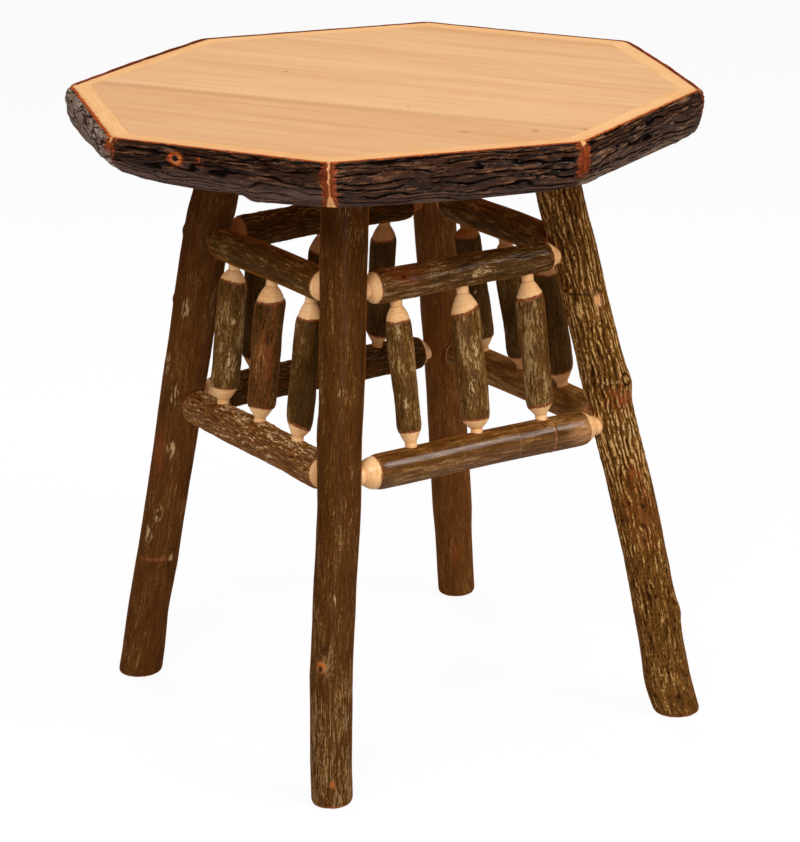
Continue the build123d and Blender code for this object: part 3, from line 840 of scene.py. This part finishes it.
def dark_spindle_bark(stick):
    lift = spindle_bark(stick)
    stick.relief = 0.22 + 0.35 * stick.relief
    stick.pale *= 0.1
    stick.dark += 0.3 + 0.3 * stick.patches(59, 30, 80, 0, 0.6)
    return lift


# -------- edge logs
PLATED_LOG = 4  # grey bark in broad plates
KNOT_LOG = 5  # has the ring knot
RED_LOGS = (5, 6)  # redder bark, with a broader bare band at the mitres
WAVY_LOGS = (2, 3, 4)  # the planed edge waves the most on these

# How far the underside of a log is worn up, in mm, at places along it in mm.
LOG_HEMS = {
    3: ((0, 165), (2, 0)),
    4: ((-170, -60, 60, 90, 120, 165), (0, 4, 13, 20, 22, 22)),
    5: ((-165, -132, -92, -48, 20, 30, 42, 54, 90, 165), (20, 15, 10, 8, 8, 8, 3, 1, 2, 6)),
    6: ((-165, -120, 0, 120, 165), (6, 3, 0, 2, 6)),
    7: ((-165, -60, 100, 150, 165), (6, 4, 3, 4, 6)),
    8: ((-165, 0), (9, 2)),
}
PLAIN_HEM = ((0, 1), (2, 2))
# How much farther than its solid the top of a log reaches, in mm: at one end, middle and other end.
LOG_REACH = {1: (5, 5, 9), 2: (9, 10, 10), 3: (10, 10, 1), 8: (1, 6, 5)}
# How wide the bark is that shows round the planed face of a log.
LOG_LIPS = {1: 0.005, 2: 0.007, 3: 0.008, 8: 0.005}
# Sapwood that shows at a mitre: half width of its strip, of its top notch, of its patch below.
CORNER_CREAM = {
    0: (0.0008, 0.0006, 0.0038), 1: (-0.003, 0.0068, 0.0), 2: (-0.003, 0.0035, 0.0),
    6: (-0.003, 0.0, 0.0), 7: (-0.003, 0.0052, 0.0),
}
PLAIN_CREAM = (-0.003, 0.0055, 0.0)
# Where bark runs round a corner below: which end of the log, and how far down the bare band
# starts to fade and is gone, as shares of the way round the bark.
BAND_STOPS = {4: (1, 0.28, 0.55), 5: (-1, 0.28, 0.55), 6: (1, 0.55, 0.85), 7: (-1, 0.55, 0.85)}
NO_STOP = (0, 1, 2)
# Place along the log and down the bark of its ring knot and of the dash beside it.
RING_KNOT = (-0.064, 0.0285)
RED_DASH = (-0.026, 0.027)

# Dark, middle and light tones, the plate tone that worn low bark and its painted sheen take, and the scale,
# reach and width of two courses of cracks.
LOG_BARKS = {
    # a lighter copy of the dark bark, with paler plates, as painted light on log 7
    "lit": (
        *tones((15, 6, 2), (72, 40, 20), (142, 100, 70), (168, 142, 118)),
        ((90, 0.07, 0.034), (230, 0.14, 0.034)),
    ),
    "dark": (
        *tones((17, 7, 2), (64, 35, 18), (120, 79, 52), (110, 82, 71)),
        ((105, 0.11, 0.030), (230, 0.14, 0.034)),
    ),
    "grey": (
        *tones((78, 54, 41), (154, 131, 115), (200, 186, 174), (172, 157, 146)),
        ((40, 0.35, 0.036), (90, 0.30, 0.016)),
    ),
}
LOG_SOOT = srgb(14, 7, 4)
LOG_PAINTED_RIM_LIGHT = srgb(132, 92, 66)  # painted rim light, on bark seen edge-on
LOG_INNER = tones((78, 29, 12), (142, 66, 34))
LOG_GLOW = tones((150, 56, 18), (206, 98, 40))
LOG_WOOD = tones((228, 166, 110), (241, 188, 132), (247, 200, 148))
LOG_WOOD_FLECK = srgb(214, 146, 88)
LOG_WOOD_AMBER = srgb(214, 118, 36)


def log_material(name, dark, mid, light, plate_and_sheen, courses):
    """Varnished, fissured bark of the edge logs, with planed and bare wood where that is painted."""
    nodes = Nodes(name, Coat_Roughness=0.2, Specular_IOR_Level=0.0)
    grain = nodes.painted("grain")
    wood, rim, relief, fleck, red, darkening = nodes.layers()
    fibre = nodes.noise(grain, (1, 0.1, 1), 430, 4, 0.7, 0.6)
    speck = nodes.noise(grain, (1, 0.5, 1), 460, 3, 0.7)
    cloud = nodes.noise(grain, (1, 0.4, 1), 40, 4, 0.6)
    tone = 0.5 * fibre + 0.7 * relief + 0.35 * cloud + 0.2 * speck
    bark = tone.ramp((0.55, dark), (0.88, mid), (1.2, light))
    coarse, finer = (
        abs(nodes.noise(grain, (1, reach, 1), scale, 2, 0.5, 0.15) - 0.5).span(0.25 * width, width, 0.95, 0.0)
        for scale, reach, width in courses
    )
    cracks = nodes.math("MAXIMUM", coarse, 0.7 * finer) * cloud.span(0.36, 0.5)
    bark = nodes.blend(cracks, bark, LOG_SOOT)
    # the plate tone on worn low bark, partly painted sheen
    bark = nodes.over(bark, fleck, 0.85, plate_and_sheen)
    bark = nodes.over(bark, darkening, 0.95, LOG_SOOT)
    facing = nodes.facing()
    # painted rim light: log bark seen edge-on turns lighter and warmer
    bark = nodes.blend(facing.span(0.6, 0.95, 0.0, 0.5), bark, LOG_PAINTED_RIM_LIGHT)
    under = (0.5 * fibre + 0.5 * cloud).span(0.38, 0.62)
    bark = nodes.blend(rim, bark, nodes.blend(under, *LOG_INNER))
    bark = nodes.over(bark, red, 1.0, nodes.blend(speck.span(0.35, 0.6), *LOG_GLOW))
    lines = nodes.noise(grain, (1, 0.035, 1), 420, 3, 0.6)
    silk = nodes.noise(grain, (1, 0.06, 1), 1500)
    flesh = 0.6 * lines + 0.2 * silk + 0.35 * cloud
    timber = flesh.ramp(*zip((0.4, 0.6, 0.8), LOG_WOOD))
    timber = nodes.over(timber, fleck, 0.6, LOG_WOOD_FLECK)
    timber = nodes.over(timber, red, 0.75, LOG_WOOD_AMBER)
    rough = 0.4 * fibre + 0.05 * wood + 0.16
    bare = 1.0 - nodes.math("MAXIMUM", wood, 0.8 * rim)
    nodes.varnish(bare.span(0, 1, 0.2, 1.0), facing, darkening, 0.4, 0.02)
    height = (0.8 * fibre + 0.4 * speck - cracks) * bare + 0.1 * silk
    return nodes.finish(nodes.blend(wood, bark, timber), rough, height, 0.0012)


def log_section(number, inner, outer, bottom, top):
    """Section of a log: out along the top, down the bark, back below and up the inside.

    Gives the distance from the table's middle, the height, the share of the way down the bark,
    and 1 where there is bark, each as one row.
    """
    brow, heel = inner + LOG_FACE, inner + LOG_HEEL
    flat, verge = np.linspace(inner, brow - 0.010, 6), np.linspace(brow - 0.009, brow, 7)[:-1]
    strip = np.concatenate((flat, verge))
    turn = np.linspace(0, 1, round(BARK_ROUND / FINE))
    bulge = 1.32 * (outer - brow + (0.0024 if number == PLATED_LOG else 0))
    bark_x = np.interp(turn, (0, 1), (brow, heel)) + bulge * np.sin(np.pi * turn**0.85) ** 0.9
    bark_z = top + (bottom - top) * (turn - 0.07 * np.sin(TURN * turn))
    under = np.linspace(heel, inner, 5)[1:]
    inside = np.linspace(bottom, top, 8)[1:-1]
    x = np.concatenate((strip, bark_x, under, np.full(len(inside), inner)))
    z = np.concatenate((np.full(len(strip), top), bark_z, np.full(len(under), bottom), inside))
    down, bark = np.zeros((2, len(x)))
    bark[len(strip) : len(strip) + len(turn)] = 1
    down[bark > 0] = turn
    return x[None, :], z[None, :], down[None, :], bark[None, :]


def mitre_cream(number, lateral, seam, fray, down):
    """Sapwood that shows along the mitres at the two ends of a log."""
    cream = 0.0
    for sign, corner in ((-1, (number + 2) % 8), (1, (number + 3) % 8)):
        strip, notch, patch = CORNER_CREAM.get(corner, PLAIN_CREAM)
        width = strip + notch * fade(0.04, 0.30, down) + patch * smooth(0.62, 0.9, down)
        soft = 0.0003 + 0.0012 * smooth(0.6, 0.8, down)
        own_end = sign * lateral > 0
        cream = np.where(own_end, fade(-0.0002, soft, seam - width + 0.5 * fray), cream)
    return cream


def paint_ring_knot(paint, lateral, drop, ragged):
    """A dark knot in a ring of light wood with a red rim, and a red dash beside it."""
    far = np.hypot(lateral - RING_KNOT[0], drop - RING_KNOT[1])
    outside = smooth(0.0048, 0.006, far)
    dash = np.hypot((lateral - RED_DASH[0]) / 0.009, (drop - RED_DASH[1]) / 0.012)
    rim, halo = fade(0.0108, 0.0126, far), fade(0.010, 0.017, far)
    for layer in (0.95 * outside * rim, 0.3 * halo * outside, 0.8 * fade(0.4, 1.0, dash) * ragged):
        paint["red"] = np.maximum(paint["red"], layer)
    paint["dark"] = np.where(far < 0.0124, 0, paint["dark"]) + 0.9 * fade(0.004, 0.0052, far)
    lit = smooth(0.0046, 0.0056, far) * fade(0.0088, 0.0106, far)
    lit = lit * smooth(-0.008, 0.004, lateral - RING_KNOT[0] + drop - RING_KNOT[1])
    paint["wood"] = np.maximum(paint["wood"], 0.65 * lit)
    paint["pale"] = np.maximum(paint["pale"], fade(0.0100, 0.0124, far))


def make_log(number):
    """A half log of the edge, with its bark outside and mitred, rounded ends."""
    node = f"edge_log_{number}"
    angle = math.radians(TOP_TURN + 45 * (number - 1))
    outward = np.array((math.cos(angle), math.sin(angle), 0))
    aside = np.array((-outward[1], outward[0], 0))
    points = vertices(node)
    away = points @ outward
    inner, outer = away.min(), away.max()
    bottom, top = points[:, 2].min(), points[:, 2].max()
    x, z, down, bark = log_section(number, inner, outer, bottom, top)
    share = np.linspace(-1, 1, 2 * round(outer * CORNER_TAN / FINE) + 1)[:, None]
    lateral = share * x * CORNER_TAN
    turn = down * 0.25
    plated, red_log = number == PLATED_LOG, number in RED_LOGS

    seed = LOG_SEED + 1000 * number

    def dots(layer, length, cells, around=1):
        return noise(seed + layer, lateral / (length / 1000), turn * around, cells)

    def field(kind, layer, around, width, length, *shape):
        return kind(seed + layer, lateral, around, LOG_GIRTH, width / 1000, length / 1000, *shape)

    sway = turn + 0.006 * dots(5, 30, 20)
    grain = field(streaks, 1, sway, 4, 30)
    wide, long = (24, 40) if plated else (10.5, 100)
    cracks = fade(0.05, 0.50, field(cords, 11, sway, wide, long, 1.0))
    cracks = cracks * smooth(-0.6, 0.0, field(streaks, 15, turn, 14, 80, 2))
    small = fade(0.0, 0.5, field(cords, 21, sway, wide * 0.5, long * 0.6, 1.0))
    small = small * smooth(-0.2, 0.4, field(streaks, 25, turn, 10, 50, 2))
    if plated:
        small = 0.5 * small
    plates = field(streaks, 27, sway, 12, 80, 2)
    broad = field(streaks, 31, turn, 30, 80, 2) + 0.6 * plates
    firm = smooth(0.02, 0.10, down) * fade(0.94, 1, down) * bark
    seam = (x * CORNER_TAN - np.abs(lateral)) * CORNER_COS
    calm = smooth(0.001, 0.014, seam)
    heave, crack_depth = (0.0026, 0.0046) if plated else (0.0012, 0.0032)
    torn = calm * (0.0005 * grain - crack_depth * cracks - 0.0014 * small)
    lift = firm * (heave * broad + torn - 0.0022 * fade(0, 0.006, seam))
    wave = 0.0011 * dots(41, 35, 8, 0) + 0.0004 * dots(43, 8, 8, 0)
    wave = (2.0 if number in WAVY_LOGS else 1.0) * wave * bell(down, 0, 0.10) * bark
    sag = 0.004 * dots(45, 90, 8, 0) + 0.0015 * dots(47, 20, 8, 0)
    edge = inner + LOG_FACE - x
    reach = np.interp(share, (-1, 0, 1), LOG_REACH.get(number, (0, 0, 0))) / 1000
    x = x + reach * np.clip((x - inner) / LOG_FACE, 0, 1) * fade(0, 0.6, down) + lift + wave
    hem = np.interp(lateral[:, -1:] * 1000, *LOG_HEMS.get(number, PLAIN_HEM)) / 1000
    below = np.clip((top - z) / (top - bottom), 0, 1)
    z = z + below**1.6 * hem + firm * sag * smooth(0.3, 1, down)

    corner = CORNER_ROUND * smooth(inner + 0.004, inner + LOG_FACE + 0.004, x)
    past = np.clip(np.abs(lateral) - (x - corner) * CORNER_TAN, 0, corner)
    x = x - corner + np.sqrt(np.clip(corner**2 - past**2, 0, None))
    lateral = share * (x * CORNER_TAN - 0.00005)
    rows = x[..., None] * outward + lateral[..., None] * aside
    rows[..., 2] = z

    drop = down * BARK_ROUND
    fray = 0.0018 * dots(51, 6, 80) + 0.003 * dots(53, 14, 30)
    band = (0.0092 if red_log else 0.0070) + fray
    side, start, gone = BAND_STOPS.get(number, NO_STOP)
    kept = np.where(side * lateral > 0, fade(start, gone, down + 20 * fray), 1)
    near = kept * fade(band - 0.0008, band + 0.0008, seam)
    spots = smooth(-0.1, 0.35, dots(55, 5, 70)) * fade(0.0006, 0.0034, np.abs(seam - band))
    spots = kept * np.maximum(spots, 0.5 * fade(0.0006, 0.0016, seam - 0.0008))
    line = fade(0.0016, 0.0026, drop + 0.4 * fray - (0.0012 if plated else 0))
    cream = mitre_cream(number, lateral, seam, fray, down) * bark
    lip = LOG_LIPS.get(number, 0.0012) + 0.0008 * dots(57, 20, 8, 0)
    lip = fade(-0.0004, 0.0004, edge - lip) * (z >= top - 1e-5)
    joint = np.maximum(0.4 * fade(0.0, 0.003, x - inner), 0.7 * fade(0.0, 0.010, edge))
    joint = np.maximum(joint, 0.35) if red_log else joint
    # smoother, worn bark low on the log, lightened with the plate tone as painted sheen
    low_wear_and_sheen = smooth(0.62, 0.85, down) * (0.4 + 0.6 * smooth(-0.4, 0.4, plates))
    if number == KNOT_LOG:
        low_wear_and_sheen = smooth(0.48, 0.66, down) * (0.6 + 0.4 * smooth(-0.5, 0.2, plates))
    relief = 0.50 + 0.30 * grain + 0.25 * plates - 0.6 * cracks - 0.35 * small
    fissures = smooth(0.5, 1.0, cracks) + 0.5 * smooth(0.4, 0.9, small)
    paint = {
        "wood": np.maximum((1 - bark) * (1 - lip), cream),
        "rim": np.maximum(np.maximum(near, line) * bark, lip),
        "relief": np.clip(relief, 0, 1.2) * bark,
        "pale": (0.5 if number == 6 else 0.8) * low_wear_and_sheen * bark + joint * (1 - bark),
        "red": np.maximum((0.75 if red_log else 0.6) * spots, 0.8 * line) * bark,
        "dark": bark * np.clip(fissures, 0, 1) * calm,
    }
    if number == KNOT_LOG:
        paint_ring_knot(paint, lateral, drop, smooth(0.0, 0.4, dots(59, 4, 60)))
        paint["dark"] = paint["dark"] * (1 - 0.5 * low_wear_and_sheen)
    place = np.stack((x, lateral + number * 0.91, z), axis=-1)
    # Rings run from one mitre to the other, so the section is turned to face outwards.
    flip = slice(None, None, -1)
    for layer in paint:
        paint[layer] = np.broadcast_to(paint[layer], x.shape)[:, flip]
    kind = {PLATED_LOG: "grey", 7: "lit"}.get(number, "dark")
    material = log_material(f"bark_{node}", *LOG_BARKS[kind])
    piece = skin(f"{node}_bark", rows[:, flip], place[:, flip], paint, material)
    install(piece, node)


# -------- planed wood and steel
BOARD_TONES = tones((232, 172, 116), (241, 187, 132), (247, 199, 145))
BOARD_STREAK = srgb(221, 161, 106)
BOARD_PORE = srgb(190, 130, 82)
BOARD_JOINT = srgb(206, 148, 96)
BOARD_KNOT = srgb(164, 96, 54)
STREAKED_BOARDS = (1, 2)
# The joint that shows darkest: its place across the boards, and how far it leans back along them.
JOINT_PLACE, JOINT_LEAN = -0.1281, 0.0434
# Small brown knots: across the boards, along them, half length and half width.
KNOTS = (
    (-0.094, -0.100, 0.005, 0.003), (-0.191, -0.246, 0.012, 0.004), (-0.147, -0.329, 0.010, 0.005),
    (-0.110, -0.392, 0.016, 0.006), (0.030, 0.180, 0.007, 0.004),
)


def board_material(name, number):
    """Planed, satin-varnished board, grained along its length."""
    nodes = Nodes(name, Coat_Weight=0.08, Coat_Roughness=0.2, Specular_IOR_Level=0.1)
    place = nodes.place()
    place = nodes.add("Mapping", {"Vector": place, "Rotation": (0, 0, math.radians(-TOP_TURN))})
    own = nodes.add("VectorMath", {0: place, 1: (0, number * 0.7, number * 0.3)})
    growth = nodes.noise(own, (1, 0.05, 1), 22, 3, 0.5, 0.3)
    lines = nodes.noise(own, (1, 0.03, 1), 240, 4, 0.6)
    silk = nodes.noise(own, (1, 0.03, 1), 1100)
    cloud = nodes.noise(own, (1, 0.15, 1), 8, 3)
    pore = nodes.noise(own, (1, 0.1, 1), 1500, 1)
    bands = nodes.math("SINE", 55.0 * growth)
    tone = 0.4 * lines + 0.12 * silk + 0.5 * cloud + 0.03 * bands + 0.5 * growth
    colour = tone.ramp(*zip((0.58, 0.76, 0.94), BOARD_TONES))
    shade = 0.34 if number in STREAKED_BOARDS else 0.0
    streak = nodes.noise(own, (1, 0.04, 1), 60, 3).span(0.5, 0.72, 0.08 + shade, 0.46 + shade)
    colour = nodes.blend(streak, colour, BOARD_STREAK)
    colour = nodes.blend(pore.span(0.66, 0.74, 0.0, 0.25), colour, BOARD_PORE)
    east, north, _ = nodes.split(place)
    off = abs(east + JOINT_LEAN * north - JOINT_PLACE)
    colour = nodes.blend(off.span(0.0010, 0.020, 0.5, 0.0), colour, BOARD_JOINT)
    for x, y, length, width in KNOTS:
        away = nodes.add("VectorMath", {0: place, 1: (-x, -y, -TABLE_HEIGHT)})
        away = nodes.length(nodes.stretched(away, 1 / width, 1 / length, 1 / width))
        colour = nodes.blend(away.span(0.2, 1.0, 0.75, 0.0), colour, BOARD_KNOT)
    return nodes.finish(colour, 0.2 * lines + 0.28, 0.6 * lines + 0.4 * silk, 0.00015)


def hidden_material(name):
    """Bare planed hardwood, for what is under the top."""
    nodes = Nodes(name, Specular_IOR_Level=0.3)
    place = nodes.place()
    lines = nodes.noise(place, (0.04, 1, 1), 300, 4, 0.6)
    cloud = nodes.noise(place, (0.2, 1, 1), 18, 3)
    saw = nodes.noise(place, (1, 0.05, 0.4), 700)
    tone = 0.6 * lines + 0.4 * cloud + 0.15 * saw
    colour = tone.ramp(*zip((0.42, 0.58, 0.74), tones((188, 134, 84), (214, 166, 116), (228, 184, 134))))
    return nodes.finish(colour, 0.3 * lines + 0.45, 0.7 * lines + 0.5 * saw, 0.0003)


def steel_material(name):
    """Zinc-plated steel of the screws."""
    nodes = Nodes(name, Metallic=1.0)
    place = nodes.place()
    scratch = nodes.noise(place, (1, 0.1, 1), 2400, 3)
    cloud = nodes.noise(place, None, 300, 3)
    colour = cloud.ramp(*zip((0.35, 0.65), tones((176, 170, 158), (206, 202, 190))))
    return nodes.finish(colour, 0.3 * scratch + 0.2, scratch, 0.0001)


def dress(node, material):
    """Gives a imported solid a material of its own."""
    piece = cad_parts[node]
    piece.data.materials.clear()
    piece.data.materials.append(material)


# -------- studio
def add_camera():
    az, el, roll = CAMERA_AZIMUTH, CAMERA_ELEVATION, CAMERA_ROLL
    back = Vector((math.sin(az) * math.cos(el), -math.cos(az) * math.cos(el), math.sin(el)))
    level = Vector((math.cos(az), math.sin(az), 0))
    upright = back.cross(level)
    right = level * math.cos(roll) + upright * math.sin(roll)
    up = upright * math.cos(roll) - level * math.sin(roll)
    data = bpy.data.cameras.new("camera")
    data.lens = CAMERA_LENS
    camera = add_object("camera", data)
    turn = Matrix((right, up, back)).transposed().to_4x4()
    camera.matrix_world = Matrix.Translation(CAMERA_PLACE) @ turn
    bpy.context.scene.camera = camera


def add_lamp(name, place, target, size, watts):
    data = bpy.data.lights.new(name, "AREA")
    data.shape, data.size, data.energy = "DISK", size, watts
    lamp = add_object(name, data)
    lamp.location = place
    lamp.rotation_euler = (Vector(place) - Vector(target)).to_track_quat("Z", "Y").to_euler()


def add_studio():
    """A white backdrop that lights the table weakly, a floor that the camera sees white, and lamps."""
    world = bpy.data.worlds.new("studio")
    world.use_nodes = True
    bpy.context.scene.world = world
    tree = world.node_tree
    back = tree.nodes["Background"]
    back.inputs["Color"].default_value = (1, 1, 1, 1)
    path = tree.nodes.new("ShaderNodeLightPath")
    strength = tree.nodes.new("ShaderNodeMapRange")
    strength.inputs["To Min"].default_value = 0.22
    strength.inputs["To Max"].default_value = 1.0
    tree.links.new(path.outputs["Is Camera Ray"], strength.inputs["Value"])
    tree.links.new(strength.outputs[0], back.inputs["Strength"])

    bpy.ops.mesh.primitive_circle_add(vertices=96, radius=14, fill_type="NGON")
    floor = bpy.context.object
    floor.name = "floor"
    nodes = Nodes("floor", Base_Color=(0.65, 0.65, 0.65, 1), Roughness=0.9, Specular_IOR_Level=0.1)
    white = nodes.add("Emission", {"Color": (1, 1, 1, 1), "Strength": 1.09})
    share = 0.84 * nodes.add("LightPath", {}, "Is Camera Ray")
    shaded = Value(nodes, nodes.shader.outputs[0])
    both = nodes.add("MixShader", {0: share, 1: shaded, 2: white})
    nodes.feed(nodes.tree.nodes["Material Output"], {"Surface": both})
    floor.data.materials.append(nodes.material)

    add_lamp("overhead", (-0.4, -1.3, 3.2), (0, 0, 0.6), 1.8, 8)
    add_lamp("overhead_back", (0.3, 2.0, 3.2), (0, 0, 0.6), 2.0, 36)
    add_lamp("front_left", (-3.0, -2.8, 3.7), (0, 0, 0.5), 2.4, 108)
    add_lamp("front_right", (2.0, -3.3, 3.7), (0, 0, 0.5), 2.4, 103)
    add_lamp("front_low", (-1.8, -3.9, 1.1), (0, 0, 0.6), 1.6, 20)


# -------- the table
for number, leg in enumerate(LEGS, 1):
    make_leg(leg, number)

FRONT_TONES = tones((64, 34, 6), (108, 66, 22), (128, 84, 34), (150, 108, 58))
RAIL_TONES = tones((50, 29, 5), (92, 58, 20), (114, 78, 35), (146, 108, 62))
ROUGH_TONES = tones((62, 31, 8), (146, 92, 42), (194, 142, 84), (236, 204, 156))
STREAKED_TONES = tones((44, 25, 5), (102, 67, 27), (126, 88, 42), (162, 126, 82))
SPINDLE_TONES = tones((50, 30, 8), (106, 71, 31), (136, 99, 52), (170, 136, 88))
AMBER_TONES = tones((78, 44, 12), (136, 90, 40), (158, 110, 54), (180, 134, 76))
glossy_rail = stick_material("bark_glossy_rail", FRONT_TONES, 0.75, 0.2, split=0.006, grit=0.8)
streaked_rail = stick_material("bark_streaked_rail", STREAKED_TONES, 0.28, 0.25)
plain_rail = stick_material("bark_plain_rail", RAIL_TONES, 0.12, fleck=0.08, grit=0.8)
amber_rail = stick_material("bark_amber_rail", AMBER_TONES, 0.15, fleck=0.08, grit=0.7)
rough_rail = stick_material("bark_rough_rail", ROUGH_TONES, 0.35, 0.3, reach=0.2, fleck=0.3, grit=0.8)
spindle_looks = {"split": 0.03, "reach": 0.2, "fleck": 0.4, "blotch": 0.55, "grit": 0.6}
spindle_wood = stick_material("bark_spindles", SPINDLE_TONES, 0.14, **spindle_looks)

# Material, bark, and the tips at the two ends.
RAILS = {
    "lower_rail_front": (glossy_rail, glossy_bark, Tip(20, 1.0), Tip(16, 0.3, 1, ragged=2.2)),
    "upper_rail_front": (streaked_rail, lichen_bark, Tip(13, 1.0), Tip(9, 1.0)),
    "lower_rail_left": (
        rough_rail, rough_bark, Tip(6, 0.9, stain_and_shade=0.2), Tip(10, 0.9, 3, 2, 90, 2.0, 0.3)
    ),
    "upper_rail_left": (plain_rail, smooth_bark, Tip(15, 0.9), Tip(4, 0.9, 3, 0, 0, 2.0, 0.8)),
    "lower_rail_right": (amber_rail, smooth_bark, Tip(8, 0.9, stain_and_shade=0.8), Tip(13, 0.8)),
    "upper_rail_right": (plain_rail, smooth_bark, Tip(6, 0.9, stain_and_shade=0.9), Tip(12, 0.8, stain_and_shade=0.6)),
    "lower_rail_back": (plain_rail, dark_bark, Tip(12, 0.8), Tip(10, 0.8)),
    "upper_rail_back": (plain_rail, dark_bark, Tip(14, 0.8, stain_and_shade=0.8), Tip(12, 0.8, stain_and_shade=1.0)),
}
for number, (node, (material, bark, *tips)) in enumerate(RAILS.items(), 10):
    swell = (1.0, 0.9) if node == "upper_rail_front" else (1.0, 1.0)
    make_rod(node, number, UP, "rail_poles", material, bark, tips, swell)

# Bark, the body's width at its two ends as shares of the solid's, lower tip and upper tip.
SPINDLES = {
    "front_1": (spindle_bark, (0.90, 0.98), Tip(16, 0.1, 2), Tip(21, 0.65, 2.2)),
    "front_2": (
        spindle_bark, (1.12, 1.13), Tip(14, 0.3, 2), Tip(24, 0.35, 3, 6, -60, 1.6)
    ),
    "front_3": (
        spindle_bark, (1.02, 1.10), Tip(15, 0.0, 3, 2, 90, 2.0),
        Tip(22, 0.1, 3, 3, -60, 2.0),
    ),
    "left_1": (spindle_bark, (1.12, 1.08), Tip(18, 0.1, 1.5), Tip(16, 0.5, 2, 2, 90)),
    "left_2": (
        red_spindle_bark, (1.08, 1.14), Tip(16, 0.1, 1.5), Tip(21, 0.5, 2, 3, -60)
    ),
    "left_3": (
        dark_spindle_bark, (1.02, 0.98), Tip(18, 0.1, 3, 5, -90, 1.4), Tip(22, 0.4, 2.2)
    ),
    "right_3": (
        dark_spindle_bark, (1.05, 1.05), Tip(17, 0.1, stain_and_shade=0.2), Tip(10, 0.4, ragged=1.5, stain_and_shade=1.0)
    ),
}
SIDES = [f"{side}_{index}" for side in ("front", "right", "back", "left") for index in (1, 2, 3)]
for number, side in enumerate(SIDES, 20):
    # the stain on these back and right spindle cones is painted shade
    foot = Tip(17, 0.1, 2, 2, 50 * number, 1.0, 0.45)
    head = Tip(20, 0.4, 2, 2, 80 * number, 1.0, 0.55)
    bark, swell, *tips = SPINDLES.get(side, (dark_spindle_bark, (1.05, 1.05), foot, head))
    node = f"spindle_{side}"
    make_rod(node, number, CAMERA_SIDE, "spindle_poles", spindle_wood, bark, tips, swell)
for number in range(1, 9):
    make_log(number)
for number in range(1, 7):
    dress(f"top_board_{number}", board_material(f"board_{number}", number))
hidden = hidden_material("planed_hardwood")
for node in ("edge_dowels", "batten_front", "batten_back"):
    dress(node, hidden)
steel = steel_material("zinc_plate")
for node in ("screws_front_batten", "screws_back_batten"):
    dress(node, steel)

add_camera()
add_studio()
bpy.context.scene.view_settings.view_transform = "Standard"
